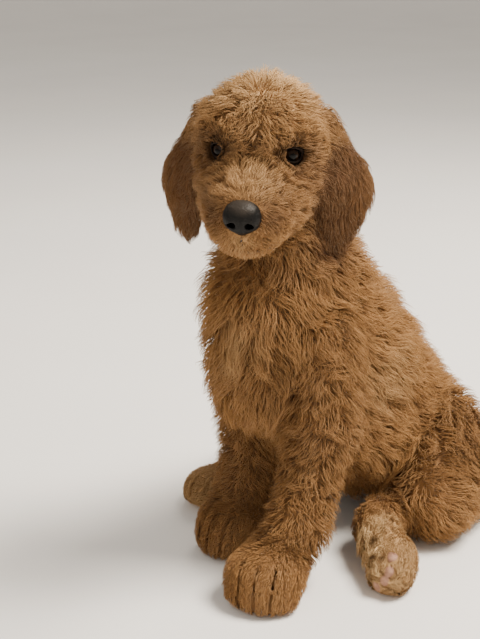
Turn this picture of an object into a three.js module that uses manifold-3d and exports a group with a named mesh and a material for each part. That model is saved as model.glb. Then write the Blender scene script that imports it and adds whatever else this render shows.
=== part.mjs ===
// A sitting standard poodle puppy at life size, as a still museum model.
// Millimetres, +Z up. The dog faces -Y and its left side is +X.

import * as THREE from 'three';
import { mergeVertices } from 'three/addons/utils/BufferGeometryUtils.js';
import Module from 'manifold-3d';

const wasm = await Module();
wasm.setup();

// Driving dimensions
const GAP = 0.3;
const HEAD_CENTRE = [30, -17, 331];
const HEAD_TURN = 35;
const HEAD_DROP = 12;
const HEAD_TILT = 2;
const EYE_RADIUS = 9;
const EYE_PLACE = [22.5, 21, 4];
const EYE_OPENING = { length: 15, height: 9.5, reach: 22 };
const LID_THICKNESS = 1.8;
const SOCKET_RADIUS = 12.5;
const SOCKET_OFFSET = 17.5;
const NOSTRIL_RADIUS = 2.9;
const MUZZLE_FRONT = 60;
const LIP_RADIUS = 2.6;
const LIP_BEND = 21;
const MOUTH = { front: [100, -41], middle: [64, -47], corner: [45, -39] };
const EAR_ROOT = { front: -8, out: 40, up: 10, radius: 15 };
const EAR_CLEARANCE = 1;
const TOE = { width: 15, length: 26, height: 19, spread: 12.5, setBack: 7.3 };
const PAW_FLATNESS = 0.8;
const CLAW = { length: 11, radius: 2.2, sides: 5, drop: 0.45, reach: 0.52 };

// The coat: cell is the size of the core's faces, depth reaches from the skin to the tips, and
// spacing lies between clumps
const COAT = {
  trunk: { cell: 26, depth: 24, spacing: 40, seed: 11 },
  head: { cell: 13, depth: 14, spacing: 22, seed: 12 },
  fore: { cell: 17, depth: 15, spacing: 28, seed: 13 },
  hind: { cell: 19, depth: 18, spacing: 32, seed: 14 },
  tail: { cell: 14, depth: 9, spacing: 26, seed: 15 },
  ear: { cell: 11, depth: 7, spacing: 20, seed: 16 },
};
// How far the core lies under the tips: a share of the depth, or the depth of the short coat
const CORE_SHARE = 0.72;
const SHORT_COAT = 4;
// The size of a clump, as shares of the spacing, and how much sizes and lies vary
const CLUMP_LENGTH = 1.7;
const CLUMP_WIDTH = 1.5;
const SIZE_SPREAD = 0.15;
const UNEVENNESS = 0.1;
const LIE_SPREAD = 0.7;

// How softly neighbouring forms, and the ways their coat lies, flow together
const SOFTNESS = 5;
const LIE_SOFTNESS = 12;

// How finely the surfaces are worked
const CANDIDATES = 1500;
const FAR = 1200;
const MERGE_LENGTH = 28;
const COAT_TOLERANCE = 2.9;
const EAR_TOLERANCE = 0.6;
const FACE_TOLERANCE = 1.0;
const PAD_TOLERANCE = 0.4;
const SEAM_TOLERANCE = 0.1;
const SMALLEST_AREA = 1e-3;
const LEAST_TURN = 0.4;

const UP = new THREE.Vector3(0, 0, 1);

// A point given as left of the midline, forward of the left fore paw, and above the floor
const at = (left, forward, up) => new THREE.Vector3(left, -forward, up);

// The head turns to the dog's left, drops at the nose and tilts a little
function headFrame() {
  const [turn, drop, tilt] = [HEAD_TURN, HEAD_DROP, HEAD_TILT].map(THREE.MathUtils.degToRad);
  const front = at(Math.sin(turn) * Math.cos(drop), Math.cos(turn) * Math.cos(drop), -Math.sin(drop));
  const side = at(Math.cos(turn), -Math.sin(turn), 0);
  const crown = front.clone().cross(side);
  const left = side.clone().multiplyScalar(Math.cos(tilt)).addScaledVector(crown, -Math.sin(tilt));
  const up = crown.clone().multiplyScalar(Math.cos(tilt)).addScaledVector(side, Math.sin(tilt));
  return { centre: at(...HEAD_CENTRE), front, left, up };
}

const HEAD = headFrame();

function onHead(front, left, up) {
  return HEAD.centre
    .clone()
    .addScaledVector(HEAD.front, front)
    .addScaledVector(HEAD.left, left)
    .addScaledVector(HEAD.up, up);
}

// One tapered round form between two points, flattened along an axis where that is given.
// Its coat lies from the first point to the second, or away from a point of its own.
function form(from, to, startRadius, endRadius, options = {}) {
  const { flatAxis = null, flatness = 1, partedAt = null, isShort = false } = options;
  return { from, to, startRadius, endRadius, flatAxis, flatness, partedAt, isShort };
}

// The forms reach to the tips of the coat
const trunkForms = [
  form(at(14, -40, 206), at(7, -53, 152), 55, 56),
  form(at(18, -84, 214), at(8, -128, 150), 54, 66),
  form(at(8, -128, 150), at(2, -176, 100), 66, 66),
  form(at(10, -104, 106), at(10, -160, 74), 58, 64),
  form(at(2, -176, 98), at(0, -208, 66), 64, 67),
  form(at(24, -32, 290), at(18, -54, 236), 46, 55),
];

const headForms = [
  form(onHead(-4, 0, 4), onHead(4, 0, 4), 47, 45, { partedAt: onHead(8, 0, 50) }),
  form(onHead(24, 0, -20), onHead(MUZZLE_FRONT, 0, -26), 35, 30, {
    partedAt: onHead(92, 0, -6),
    isShort: true,
  }),
  form(onHead(10, 20, -16), onHead(34, 14, -26), 28, 26, { partedAt: onHead(40, 24, 4) }),
  form(onHead(10, -20, -16), onHead(34, -14, -26), 28, 26, { partedAt: onHead(40, -24, 4) }),
];

const noseForms = [
  form(onHead(79, 5, -13), onHead(79, -5, -13), 8, 8),
  form(onHead(80, 0, -14), onHead(80, 0, -22), 9, 6),
];

const tailForms = [
  form(at(0, -252, 56), at(12, -292, 26), 25, 24),
  form(at(12, -292, 25), at(34, -334, 20), 24, 19),
];

// Shoulder, elbow, wrist, paw and row of toes of each fore leg; the left paw stands ahead of the
// right and turns outwards
const FORE = {
  left: [at(48, -60, 180), at(56, -56, 118), at(62, -25, 48), at(58, 0, 22), at(68, 22, 10)],
  right: [at(-9, -54, 180), at(-19, -58, 118), at(-17, -48, 45), at(-12, -40, 22), at(-12, -16, 10)],
};

// Paws of the hind legs, whose thighs, shanks and hocks are mirrored. A sole looks down, or inwards
// and up where the foot has rolled onto its outer side.
const HIND = {
  left: { side: 1, heel: at(76, -100, 26), toe: at(118, -66, 16), roll: -2 },
  right: { side: -1, heel: at(-74, -132, 20), toe: at(-84, -66, 14), roll: 0.15 },
};

const SIDES = { left: 1, right: -1 };

function foreForms([shoulder, elbow, wrist, paw, tip]) {
  const front = tip.clone().sub(paw).setZ(0).normalize();
  const heel = paw.clone().addScaledVector(front, -8).add(at(0, 0, -2));
  const toes = paw.clone().addScaledVector(front, 12).add(at(0, 0, -4));
  return [
    form(shoulder, elbow, 33, 30),
    form(elbow, wrist, 29, 25),
    form(wrist, paw, 25, 24),
    form(heel, toes, 27, 25, { flatAxis: UP, flatness: PAW_FLATNESS, isShort: true }),
  ];
}

// Each foot points from its heel to its toes, and is rolled about that line
function footFrame(heel, toes, roll) {
  const front = toes.clone().sub(heel).setZ(0).normalize();
  const across = UP.clone().cross(front).applyAxisAngle(front, roll);
  return { front, across, over: UP.clone().applyAxisAngle(front, roll) };
}

function hindForms({ side, heel, toe, roll }) {
  const { over } = footFrame(heel, toe, roll);
  const instep = heel.clone().add(at(side * -4, -18, -2));
  return [
    form(at(side * 48, -208, 58), at(side * 90, -158, 34), 52, 33),
    form(at(side * 92, -158, 32), at(side * 84, -228, 26), 33, 30),
    form(at(side * 70, -240, 20), instep, 21, 20),
    form(heel, toe, 25, 20, { flatAxis: over, flatness: PAW_FLATNESS, isShort: true }),
  ];
}

// The way the outer face of an ear looks
const earFace = (side) => HEAD.front.clone().multiplyScalar(0.6).addScaledVector(HEAD.left, side * 0.8);

function earForms(side) {
  const flap = { flatAxis: earFace(side), flatness: 0.5 };
  const root = onHead(-8, side * 41, 12);
  const middle = onHead(-13, side * 56, -40);
  const tip = onHead(-8, side * 56, -72);
  return [form(root, middle, 15, 27, flap), form(middle, tip, 27, 16, flap)];
}

// The hollow on the inner face of an ear, open downwards and to the front
function earCupForms(side) {
  const flap = { flatAxis: earFace(side), flatness: 0.4 };
  const inward = earFace(side).multiplyScalar(-11);
  const [root, tip] = [onHead(-8, side * 44, 0), onHead(-8, side * 55, -74)].map((p) => p.add(inward));
  return [form(root, tip, 9, 17, flap)];
}

// Signed distance from a point to one form
const axis = new THREE.Vector3();
const away = new THREE.Vector3();
function distanceTo(shape, point) {
  axis.subVectors(shape.to, shape.from);
  away.subVectors(point, shape.from);
  const share = THREE.MathUtils.clamp(away.dot(axis) / Math.max(axis.lengthSq(), 1e-9), 0, 1);
  away.addScaledVector(axis, -share);
  if (shape.flatAxis) {
    away.addScaledVector(shape.flatAxis, away.dot(shape.flatAxis) * (1 / shape.flatness - 1));
  }
  return away.length() - THREE.MathUtils.lerp(shape.startRadius, shape.endRadius, share);
}

// Signed distance to all the forms, flowing softly into each other
function distanceToAll(forms, point) {
  const distances = forms.map((shape) => distanceTo(shape, point));
  const nearest = Math.min(...distances);
  const sum = distances.reduce((total, d) => total + Math.exp((nearest - d) / SOFTNESS), 0);
  return nearest - SOFTNESS * Math.log(sum);
}

const isInside = (forms, point, depth) => distanceToAll(forms, point) < -depth;

// How the distance to the forms grows at a point, along each axis
function growthAt(forms, point) {
  const slope = (axisIndex) => {
    const step = new THREE.Vector3().setComponent(axisIndex, 1);
    return distanceToAll(forms, point.clone().add(step)) - distanceToAll(forms, point.clone().sub(step));
  };
  return new THREE.Vector3(slope(0), slope(1), slope(2)).divideScalar(2);
}

// The way straight out of the forms at a point
const wayOut = (forms, point) => growthAt(forms, point).normalize();

// Moves a point straight in or out until it lies at the depth under the surface of the forms
function settled(forms, point, depth) {
  for (let step = 0; step < 5; step++) {
    const growth = growthAt(forms, point);
    point.addScaledVector(growth, -(distanceToAll(forms, point) + depth) / growth.lengthSq());
  }
  return point;
}

// The way the coat lies at a point, flat along the surface
function lieAt(forms, point, normal) {
  const distances = forms.map((shape) => distanceTo(shape, point));
  const nearest = Math.min(...distances);
  const lie = new THREE.Vector3();
  forms.forEach((shape, i) => {
    const way = shape.partedAt ? point.clone().sub(shape.partedAt) : shape.to.clone().sub(shape.from);
    lie.addScaledVector(way.normalize(), Math.exp((nearest - distances[i]) / LIE_SOFTNESS));
  });
  return lie.addScaledVector(normal, -lie.dot(normal)).normalize();
}

// The box that holds all the forms, with some room round them
function boxAround(forms, margin) {
  const box = new THREE.Box3();
  for (const { from, to, startRadius, endRadius } of forms) {
    const reach = Math.max(startRadius, endRadius) + margin;
    for (const end of [from, to]) {
      box.expandByPoint(end.clone().addScalar(reach));
      box.expandByPoint(end.clone().addScalar(-reach));
    }
  }
  return box;
}

function solidFrom(positions, triangles) {
  const mesh = new wasm.Mesh({
    numProp: 3,
    vertProperties: new Float32Array(positions),
    triVerts: new Uint32Array(triangles),
  });
  return new wasm.Manifold(mesh);
}

function solidOf(geometry) {
  geometry.deleteAttribute('normal');
  geometry.deleteAttribute('uv');
  const merged = mergeVertices(geometry);
  return solidFrom(merged.attributes.position.array, merged.index.array);
}

// The corners and edges of one grid cell
const CORNERS = [0, 1, 2, 3, 4, 5, 6, 7].map((i) => [i & 1, (i >> 1) & 1, (i >> 2) & 1]);
const EDGES = CORNERS.flatMap((_, i) => {
  const steps = [1, 2, 4].filter((step) => !(i & step));
  return steps.map((step) => [i, i + step]);
});
const STEPS = [[1, 0, 0], [0, 1, 0], [0, 0, 1]];

// A closed surface round the forms, which stands the growth off them: one vertex in each grid cell
// that the surface crosses, at the mean of its crossings, and one four-sided face round each grid
// edge that it crosses. The clearance then moves each vertex straight out.
function skinOf(forms, cell, growth = 0, clearance = 0) {
  const box = boxAround(forms, 2 * cell + Math.max(growth, 0) + SOFTNESS);
  const count = box.getSize(new THREE.Vector3()).divideScalar(cell).ceil().addScalar(1);
  const index = (i, j, k) => (k * count.y + j) * count.x + i;
  const place = (i, j, k) => new THREE.Vector3(i, j, k).multiplyScalar(cell).add(box.min);
  const values = new Float64Array(count.x * count.y * count.z);
  for (let k = 0; k < count.z; k++) {
    for (let j = 0; j < count.y; j++) {
      for (let i = 0; i < count.x; i++) {
        values[index(i, j, k)] = distanceToAll(forms, place(i, j, k)) - growth;
      }
    }
  }
  const positions = [];
  const vertexOf = new Map();
  const addVertex = (i, j, k) => {
    const corner = CORNERS.map(([a, b, c]) => values[index(i + a, j + b, k + c)]);
    const crossed = EDGES.filter(([a, b]) => corner[a] < 0 !== corner[b] < 0);
    if (!crossed.length) return;
    const mean = new THREE.Vector3();
    for (const [a, b] of crossed) {
      const start = place(i + CORNERS[a][0], j + CORNERS[a][1], k + CORNERS[a][2]);
      const end = place(i + CORNERS[b][0], j + CORNERS[b][1], k + CORNERS[b][2]);
      mean.add(start.lerp(end, corner[a] / (corner[a] - corner[b])));
    }
    mean.divideScalar(crossed.length);
    mean.addScaledVector(wayOut(forms, mean), clearance);
    vertexOf.set(index(i, j, k), positions.length / 3);
    positions.push(...mean.toArray());
  };
  const triangles = [];
  const addFaces = (i, j, k) => {
    STEPS.forEach((step, way) => {
      const here = values[index(i, j, k)] < 0;
      const there = values[index(i + step[0], j + step[1], k + step[2])] < 0;
      if (here === there) return;
      const [b, c] = [STEPS[(way + 1) % 3], STEPS[(way + 2) % 3]];
      const ring = [[0, 0], [1, 0], [1, 1], [0, 1]].map(([m, n]) =>
        vertexOf.get(index(i - m * b[0] - n * c[0], j - m * b[1] - n * c[1], k - m * b[2] - n * c[2])),
      );
      if (!here) ring.reverse();
      triangles.push(ring[0], ring[1], ring[2], ring[0], ring[2], ring[3]);
    });
  };
  for (const visit of [addVertex, addFaces]) {
    const first = visit === addVertex ? 0 : 1;
    for (let k = first; k < count.z - 1; k++) {
      for (let j = first; j < count.y - 1; j++) {
        for (let i = first; i < count.x - 1; i++) visit(i, j, k);
      }
    }
  }
  return solidFrom(positions, triangles);
}

// A repeatable random draw between 0 and 1
function drawFrom(seed) {
  let state = seed;
  return () => {
    state = (state + 0x6d2b79f5) | 0;
    let mixed = Math.imul(state ^ (state >>> 15), state | 1);
    mixed ^= mixed + Math.imul(mixed ^ (mixed >>> 7), mixed | 61);
    return ((mixed ^ (mixed >>> 14)) >>> 0) / 2 ** 32;
  };
}

const vary = (draw, spread) => 1 + spread * (2 * draw() - 1);

// Places spread evenly over the surface of the forms: out of many random ones, the one farthest
// from those already taken, until they are closer than the spacing
function placesOn(forms, depth, spacing, draw, isBare) {
  const box = boxAround(forms, 0);
  const size = box.getSize(new THREE.Vector3());
  const candidates = [];
  for (let i = 0; i < CANDIDATES; i++) {
    const anywhere = new THREE.Vector3(draw(), draw(), draw()).multiply(size).add(box.min);
    const point = settled(forms, anywhere, depth);
    if (Math.abs(distanceToAll(forms, point) + depth) < 1 && !isBare(point)) candidates.push(point);
  }
  const taken = [];
  const room = candidates.map(() => Infinity);
  while (candidates.length) {
    const best = room.indexOf(Math.max(...room));
    if (room[best] < spacing) break;
    taken.push(candidates[best]);
    candidates.forEach((point, i) => {
      room[i] = Math.min(room[i], point.distanceTo(candidates[best]));
    });
  }
  return taken;
}

// A rounded clump of curls, built in rings from its sunk root to its top, which leans along the lie:
// how far along the lie, how high, and how wide each ring is, as shares of the clump's own sizes. The
// rings follow the curve of the surface that the clump grows from.
const CLUMP_RINGS = [
  { along: -0.1, rise: -0.5, girth: 0.8 },
  { along: 0, rise: 0.25, girth: 1 },
  { along: 0.08, rise: 0.72, girth: 0.82 },
  { along: 0.13, rise: 0.95, girth: 0.42 },
];
const CLUMP_TOP = { along: 0.16, rise: 1, girth: 0 };
const CLUMP_SIDES = 6;

function clump(forms, root, normal, lie, { depth, length, width, height, twist, uneven }) {
  const across = new THREE.Vector3().crossVectors(normal, lie);
  const positions = [];
  const addPoint = ({ along, rise, girth }, step, side) => {
    const turn = (2 * Math.PI * side) / CLUMP_SIDES + twist;
    const reach = 0.5 * girth * uneven[(side + step) % uneven.length];
    const point = root
      .clone()
      .addScaledVector(lie, (along + Math.cos(turn) * reach) * length)
      .addScaledVector(across, Math.sin(turn) * reach * width);
    positions.push(...settled(forms, point, depth - rise * height).toArray());
  };
  CLUMP_RINGS.forEach((ring, step) => {
    for (let side = 0; side < CLUMP_SIDES; side++) addPoint(ring, step, side);
  });
  addPoint(CLUMP_TOP, 0, 0);
  const last = CLUMP_RINGS.length - 1;
  const ringAt = (step, side) => step * CLUMP_SIDES + (side % CLUMP_SIDES);
  const triangles = [];
  for (let side = 0; side < CLUMP_SIDES; side++) {
    if (side > 0 && side < CLUMP_SIDES - 1) triangles.push(0, side + 1, side);
    for (let step = 0; step < last; step++) {
      const [a, b] = [ringAt(step, side), ringAt(step, side + 1)];
      const [c, d] = [ringAt(step + 1, side), ringAt(step + 1, side + 1)];
      triangles.push(a, b, d, a, d, c);
    }
    triangles.push(ringAt(last, side), ringAt(last, side + 1), (last + 1) * CLUMP_SIDES);
  }
  return solidFrom(positions, triangles);
}

// The coat of one region: a core well inside it, and clumps set close all over the core
function coatOf(forms, { cell, depth, spacing, seed }, isBare) {
  const draw = drawFrom(seed);
  const sunk = CORE_SHARE * depth;
  const core = forms.map((shape) => {
    const thinned = shape.isShort ? SHORT_COAT : sunk;
    return { ...shape, startRadius: shape.startRadius - thinned, endRadius: shape.endRadius - thinned };
  });
  let coat = skinOf(core, cell);
  for (const place of placesOn(forms, sunk, spacing, draw, isBare)) {
    const normal = wayOut(forms, place);
    const lie = lieAt(forms, place, normal).applyAxisAngle(normal, (draw() - 0.5) * LIE_SPREAD);
    const size = spacing * vary(draw, SIZE_SPREAD);
    const sizes = {
      depth: sunk,
      length: CLUMP_LENGTH * size,
      width: CLUMP_WIDTH * size,
      height: sunk * vary(draw, SIZE_SPREAD),
      twist: draw() * Math.PI,
      uneven: STEPS.map(() => vary(draw, UNEVENNESS)),
    };
    coat = coat.add(clump(forms, place, normal, lie, sizes));
  }
  return coat;
}

// A block whose face holds the point and which fills the side that the normal points away from
function blockBehind(point, normal) {
  const geometry = new THREE.BoxGeometry(FAR, FAR, FAR);
  geometry.translate(0, 0, -FAR / 2);
  geometry.applyQuaternion(new THREE.Quaternion().setFromUnitVectors(UP, normal.clone().normalize()));
  geometry.translate(...point.toArray());
  return solidOf(geometry);
}

// A ball, or an egg with three radii along the given axes
function ball(centre, radii, axes = STEPS.map((step) => new THREE.Vector3(...step)), facets = 10) {
  const geometry = new THREE.SphereGeometry(1, facets, Math.round(facets * 0.7));
  const [x, y, z] = axes.map((way, i) => way.clone().multiplyScalar(radii[i]));
  geometry.applyMatrix4(new THREE.Matrix4().makeBasis(x, y, z).setPosition(centre));
  return solidOf(geometry);
}

// Parts a solid at a plane: the piece ahead of it, along the normal, and the piece behind it
function partAt(solid, point, normal) {
  const unit = normal.clone().normalize();
  const back = unit.clone().negate();
  const ahead = solid.subtract(blockBehind(point.clone().addScaledVector(unit, GAP / 2), unit));
  const behind = solid.subtract(blockBehind(point.clone().addScaledVector(back, GAP / 2), back));
  return [ahead, behind];
}

// Parts a solid round a set of forms, on one side of a plane where that is given: what lies inside
// them, and the rest
function partRound(solid, forms, cell, growth, side = null) {
  let inner = skinOf(forms, cell, growth);
  let outer = skinOf(forms, cell, growth, GAP);
  if (side) {
    inner = inner.intersect(blockBehind(side.point, side.normal));
    const moved = side.point.clone().addScaledVector(side.normal, GAP);
    outer = outer.intersect(blockBehind(moved, side.normal));
  }
  return [solid.intersect(inner), solid.subtract(outer)];
}

// The largest closed surface of a solid
function largest(solid) {
  return solid.decompose().reduce((best, piece) => (piece.volume() > best.volume() ? piece : best));
}

// Leaves out the edges that are too short to show: the two ends of an edge become one point where the
// surface stays closed, no face turns over and none moves by more than the tolerance
function withoutShortEdges(mesh, tolerance) {
  const points = [];
  for (let i = 0; i < mesh.vertProperties.length; i += 3) {
    points.push(new THREE.Vector3().fromArray(mesh.vertProperties, i));
  }
  const facesOf = points.map(() => new Set());
  const faces = [];
  for (let i = 0; i < mesh.triVerts.length; i += 3) {
    const face = [...mesh.triVerts.slice(i, i + 3)];
    faces.push(face);
    face.forEach((v) => facesOf[v].add(face));
  }
  const isKept = (face) => facesOf[face[0]].has(face);
  const neighboursOf = (v) => new Set([...facesOf[v]].flat().filter((w) => w !== v));
  const areaWay = ([a, b, c]) => b.clone().sub(a).cross(c.clone().sub(a));
  // How far a face moves when its corners at the edge's ends go to the target
  const shiftOf = (face, ends, target) => {
    const before = areaWay(face.map((v) => points[v]));
    const after = areaWay(face.map((v) => (ends.includes(v) ? target : points[v])));
    if (after.length() < SMALLEST_AREA) return Infinity;
    if (before.length() < SMALLEST_AREA) return 0;
    before.normalize();
    if (before.dot(after.normalize()) < LEAST_TURN) return Infinity;
    return Math.abs(before.dot(target.clone().sub(points[face[0]])));
  };
  const merge = (keep, drop) => {
    const shared = [...facesOf[drop]].filter((face) => face.includes(keep));
    const around = neighboursOf(keep);
    const common = [...neighboursOf(drop)].filter((v) => around.has(v));
    if (shared.length !== 2 || common.length !== 2) return false;
    const touched = [...facesOf[keep], ...facesOf[drop]].filter((face) => !shared.includes(face));
    const choices = [0, 1, 0.5].map((share) => {
      const target = points[keep].clone().lerp(points[drop], share);
      return { target, shift: Math.max(...touched.map((face) => shiftOf(face, [keep, drop], target))) };
    });
    const best = choices.reduce((a, b) => (b.shift < a.shift ? b : a));
    if (best.shift > tolerance) return false;
    points[keep].copy(best.target);
    shared.forEach((face) => face.forEach((v) => facesOf[v].delete(face)));
    for (const face of facesOf[drop]) {
      face[face.indexOf(drop)] = keep;
      facesOf[keep].add(face);
    }
    facesOf[drop].clear();
    return true;
  };
  const length = ([a, b]) => points[a].distanceTo(points[b]);
  let merged = 1;
  while (merged) {
    merged = 0;
    for (const face of faces.filter(isKept)) {
      if (!isKept(face)) continue;
      const edges = face.map((v, i) => [v, face[(i + 1) % 3]]).sort((a, b) => length(a) - length(b));
      if (edges.filter((edge) => length(edge) < MERGE_LENGTH).some(([a, b]) => merge(a, b))) merged += 1;
    }
  }
  const used = points.map((_, v) => v).filter((v) => facesOf[v].size);
  const newIndex = new Map(used.map((v, i) => [v, i]));
  return {
    positions: used.flatMap((v) => points[v].toArray()),
    triangles: faces.filter(isKept).flatMap((face) => face.map((v) => newIndex.get(v))),
  };
}

function eased(solid, tolerance) {
  const { positions, triangles } = withoutShortEdges(solid.getMesh(), tolerance);
  return solidFrom(positions, triangles);
}

const MATERIALS = {
  coat: new THREE.MeshStandardMaterial({ color: 0xb98c5a, roughness: 0.95, metalness: 0 }),
  ear_coat: new THREE.MeshStandardMaterial({ color: 0x7d5230, roughness: 0.95, metalness: 0 }),
  nose_leather: new THREE.MeshStandardMaterial({ color: 0x1b1816, roughness: 0.45, metalness: 0 }),
  eye: new THREE.MeshStandardMaterial({ color: 0x120b07, roughness: 0.08, metalness: 0 }),
  pad: new THREE.MeshStandardMaterial({ color: 0xb98c74, roughness: 0.8, metalness: 0 }),
};

const group = new THREE.Group();

function addNode(name, solid, material) {
  const { positions, triangles } = withoutShortEdges(largest(solid).getMesh(), SEAM_TOLERANCE);
  const geometry = new THREE.BufferGeometry();
  geometry.setAttribute('position', new THREE.Float32BufferAttribute(positions, 3));
  geometry.setIndex(triangles);
  const node = new THREE.Mesh(geometry, MATERIALS[material].clone());
  node.name = name;
  group.add(node);
}

// Landmarks of the face
const eyeCentre = (side) => onHead(EYE_PLACE[0], side * EYE_PLACE[1], EYE_PLACE[2]);
const eyeWay = (side) => eyeCentre(side).sub(HEAD.centre).normalize();
const besideEye = (side, distance) => eyeCentre(side).addScaledVector(eyeWay(side), distance);
const NOSE_CENTRE = onHead(84, 0, -17);

// The line of the mouth from its corner to the front, seen from the side, as front and up
const mouthLine = new THREE.QuadraticBezierCurve(
  new THREE.Vector2(...MOUTH.corner),
  new THREE.Vector2(...MOUTH.middle),
  new THREE.Vector2(...MOUTH.front),
);

// The line of the lips round the muzzle, from one corner of the mouth to the other
function lipLine() {
  const points = [];
  for (let turn = -105; turn <= 105; turn += 30) {
    const angle = THREE.MathUtils.degToRad(turn);
    const front = MUZZLE_FRONT - 4 + LIP_BEND * Math.cos(angle);
    const share = (front - MOUTH.corner[0]) / (MOUTH.front[0] - MOUTH.corner[0]);
    const level = mouthLine.getPoint(THREE.MathUtils.clamp(share, 0, 1)).y;
    points.push(onHead(front, LIP_BEND * Math.sin(angle), level));
  }
  return new THREE.CatmullRomCurve3(points);
}

const lips = lipLine();
const lipPoints = lips.getPoints(24);

// Where the face is bare of clumps: round the eyes and the nose, along the lips and under the ears
function isBareFace(point) {
  const nearEye = Object.values(SIDES).some((side) => point.distanceTo(besideEye(side, 12)) < 15);
  const nearLips = lipPoints.some((lip) => point.distanceTo(lip) < 7);
  const underEar = Object.values(SIDES).some((side) => isInside(earForms(side), point, 2));
  const nearNose = point.distanceTo(NOSE_CENTRE) < 15;
  return nearEye || nearLips || underEar || nearNose || isInside(trunkForms, point, 6);
}

// A bead of lip on both sides of the line of the mouth
function lipBead() {
  const section = new THREE.Shape();
  section.absarc(0, 0, LIP_RADIUS, 0, 2 * Math.PI);
  return solidOf(new THREE.ExtrudeGeometry(section, { extrudePath: lips, steps: 10, curveSegments: 3 }));
}

// All that lies below the line of the mouth, ahead of its corners
function jawBlock(clearance) {
  const line = mouthLine.getPoints(6);
  const outline = line.map((p) => p.clone().add(new THREE.Vector2(-clearance, clearance)));
  outline.push(new THREE.Vector2(MOUTH.front[0], -95));
  outline.push(new THREE.Vector2(MOUTH.corner[0] - 6 - clearance, -95));
  outline.push(new THREE.Vector2(MOUTH.corner[0] - 6 - clearance, -52));
  const shape = new THREE.Shape(outline);
  const geometry = new THREE.ExtrudeGeometry(shape, { depth: 120, bevelEnabled: false });
  geometry.translate(0, 0, -60);
  const basis = new THREE.Matrix4().makeBasis(HEAD.front, HEAD.up, HEAD.left.clone().negate());
  geometry.applyMatrix4(basis.setPosition(HEAD.centre));
  return solidOf(geometry);
}

// Lids round an eye, and the clear space of the ball and of the opening between them
function lidsAround(side) {
  return ball(eyeCentre(side), [1, 1, 1].map(() => EYE_RADIUS + GAP + LID_THICKNESS));
}

function eyeSpace(side) {
  const out = eyeWay(side);
  const across = UP.clone().cross(out).normalize();
  const over = out.clone().cross(across);
  const { length, height, reach } = EYE_OPENING;
  const opening = ball(eyeCentre(side), [length / 2, height / 2, reach], [across, over, out]);
  return opening.add(ball(eyeCentre(side), [1, 1, 1].map(() => EYE_RADIUS + GAP)));
}

function nostril(side) {
  const hole = ball(onHead(90, side * 6, -17.5), [1, 1, 1].map(() => NOSTRIL_RADIUS));
  return hole.add(ball(onHead(88, side * 9, -19.5), [1, 1, 1].map(() => 0.65 * NOSTRIL_RADIUS)));
}

// The tip is the middle of the row of toes, and the sole lies as deep under it as the pads reach
function footAt(tip, heel, toes, { roll = 0, size, sole }) {
  return { tip, size, sole, ...footFrame(heel, toes, roll) };
}

const FORE_SIZES = { left: { size: 1, sole: 8.5 }, right: { size: 0.95, sole: 8.5 } };
const HIND_SIZES = { left: { size: 0.8, sole: 14.5 }, right: { size: 0.8, sole: 14 } };
const FEET = {};
for (const [name, [, , , paw, tip]] of Object.entries(FORE)) {
  FEET[`fore_${name}`] = footAt(tip, paw, tip, FORE_SIZES[name]);
}
for (const [name, { side, heel, toe, roll }] of Object.entries(HIND)) {
  const tip = toe.clone().add(at(side * -3, -5, -1));
  FEET[`hind_${name}`] = footAt(tip, heel, toe, { roll, ...HIND_SIZES[name] });
}

const TOE_PLACES = [-1.5, -0.5, 0.5, 1.5];
const setBackOf = (place) => (Math.abs(place) - 0.5) * TOE.setBack;

// The middle of one toe: the two middle toes reach ahead of the outer ones
function toeCentre({ tip, front, across, size }, place) {
  return tip
    .clone()
    .addScaledVector(across, place * TOE.spread * size)
    .addScaledVector(front, -setBackOf(place) * size);
}

function toesOf(foot) {
  const radii = [TOE.length, TOE.width, TOE.height].map((size) => (size * foot.size) / 2);
  const axes = [foot.front, foot.across, foot.over];
  return TOE_PLACES.map((place) => ball(toeCentre(foot, place), radii, axes, 6));
}

// A short claw at the end of a toe, sloping down to its point
function clawOf(foot, place) {
  const { front, over, size } = foot;
  const { length, radius, sides, drop, reach } = CLAW;
  const way = front.clone().addScaledVector(over, -drop).normalize();
  const geometry = new THREE.ConeGeometry(radius * size, length * size, sides);
  geometry.applyQuaternion(new THREE.Quaternion().setFromUnitVectors(new THREE.Vector3(0, 1, 0), way));
  const middle = toeCentre(foot, place).addScaledVector(front, reach * TOE.length * size);
  geometry.translate(...middle.toArray());
  return solidOf(geometry);
}

// The pads of a foot: one large pad behind and one under each toe, on a thin shared sole
const PAD_SOLE = { forward: -7, radii: [15, 17, 1.6], lift: 0 };
const PAD_HEEL = { forward: -14, radii: [8, 11, 4], lift: 0.5 };
const PAD_TOE = { forward: 3, radii: [6, 5, 3.6], lift: 1 };

function padsOf(foot, clearance = 0) {
  const { tip, front, across, over, size, sole } = foot;
  const pad = ({ forward, radii, lift }, place, facets) => {
    const centre = tip
      .clone()
      .addScaledVector(front, (forward - (place ? setBackOf(place) : 0)) * size)
      .addScaledVector(across, place * 0.9 * TOE.spread * size)
      .addScaledVector(over, (lift - sole) * size);
    return ball(centre, radii.map((radius) => radius * size + clearance), [front, across, over], facets);
  };
  return TOE_PLACES.reduce(
    (pads, place) => pads.add(pad(PAD_TOE, place, 5)),
    pad(PAD_HEEL, 0, 5).add(pad(PAD_SOLE, 0, 6)),
  );
}

const floor = blockBehind(at(0, 0, 0), UP);

// The whole dog, without its ears
const limbs = [...Object.values(FORE).map(foreForms), ...Object.values(HIND).map(hindForms)];
const isInLimb = (point) => limbs.some((forms) => isInside(forms, point, 9));
const isInTrunk = (point) => isInside(trunkForms, point, 12);
const isUnderneath = (point) => point.z < 60 && wayOut(trunkForms, point).z < -0.55;
const isNearToes = (point) =>
  Object.values(FEET).some((foot) => point.distanceTo(foot.tip) < 1.1 * TOE.length * foot.size);

const isBareTrunk = (point) => isInLimb(point) || isInside(headForms, point, 5) || isUnderneath(point);
const isBareLimb = (point) => isInTrunk(point) || isNearToes(point);

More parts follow.
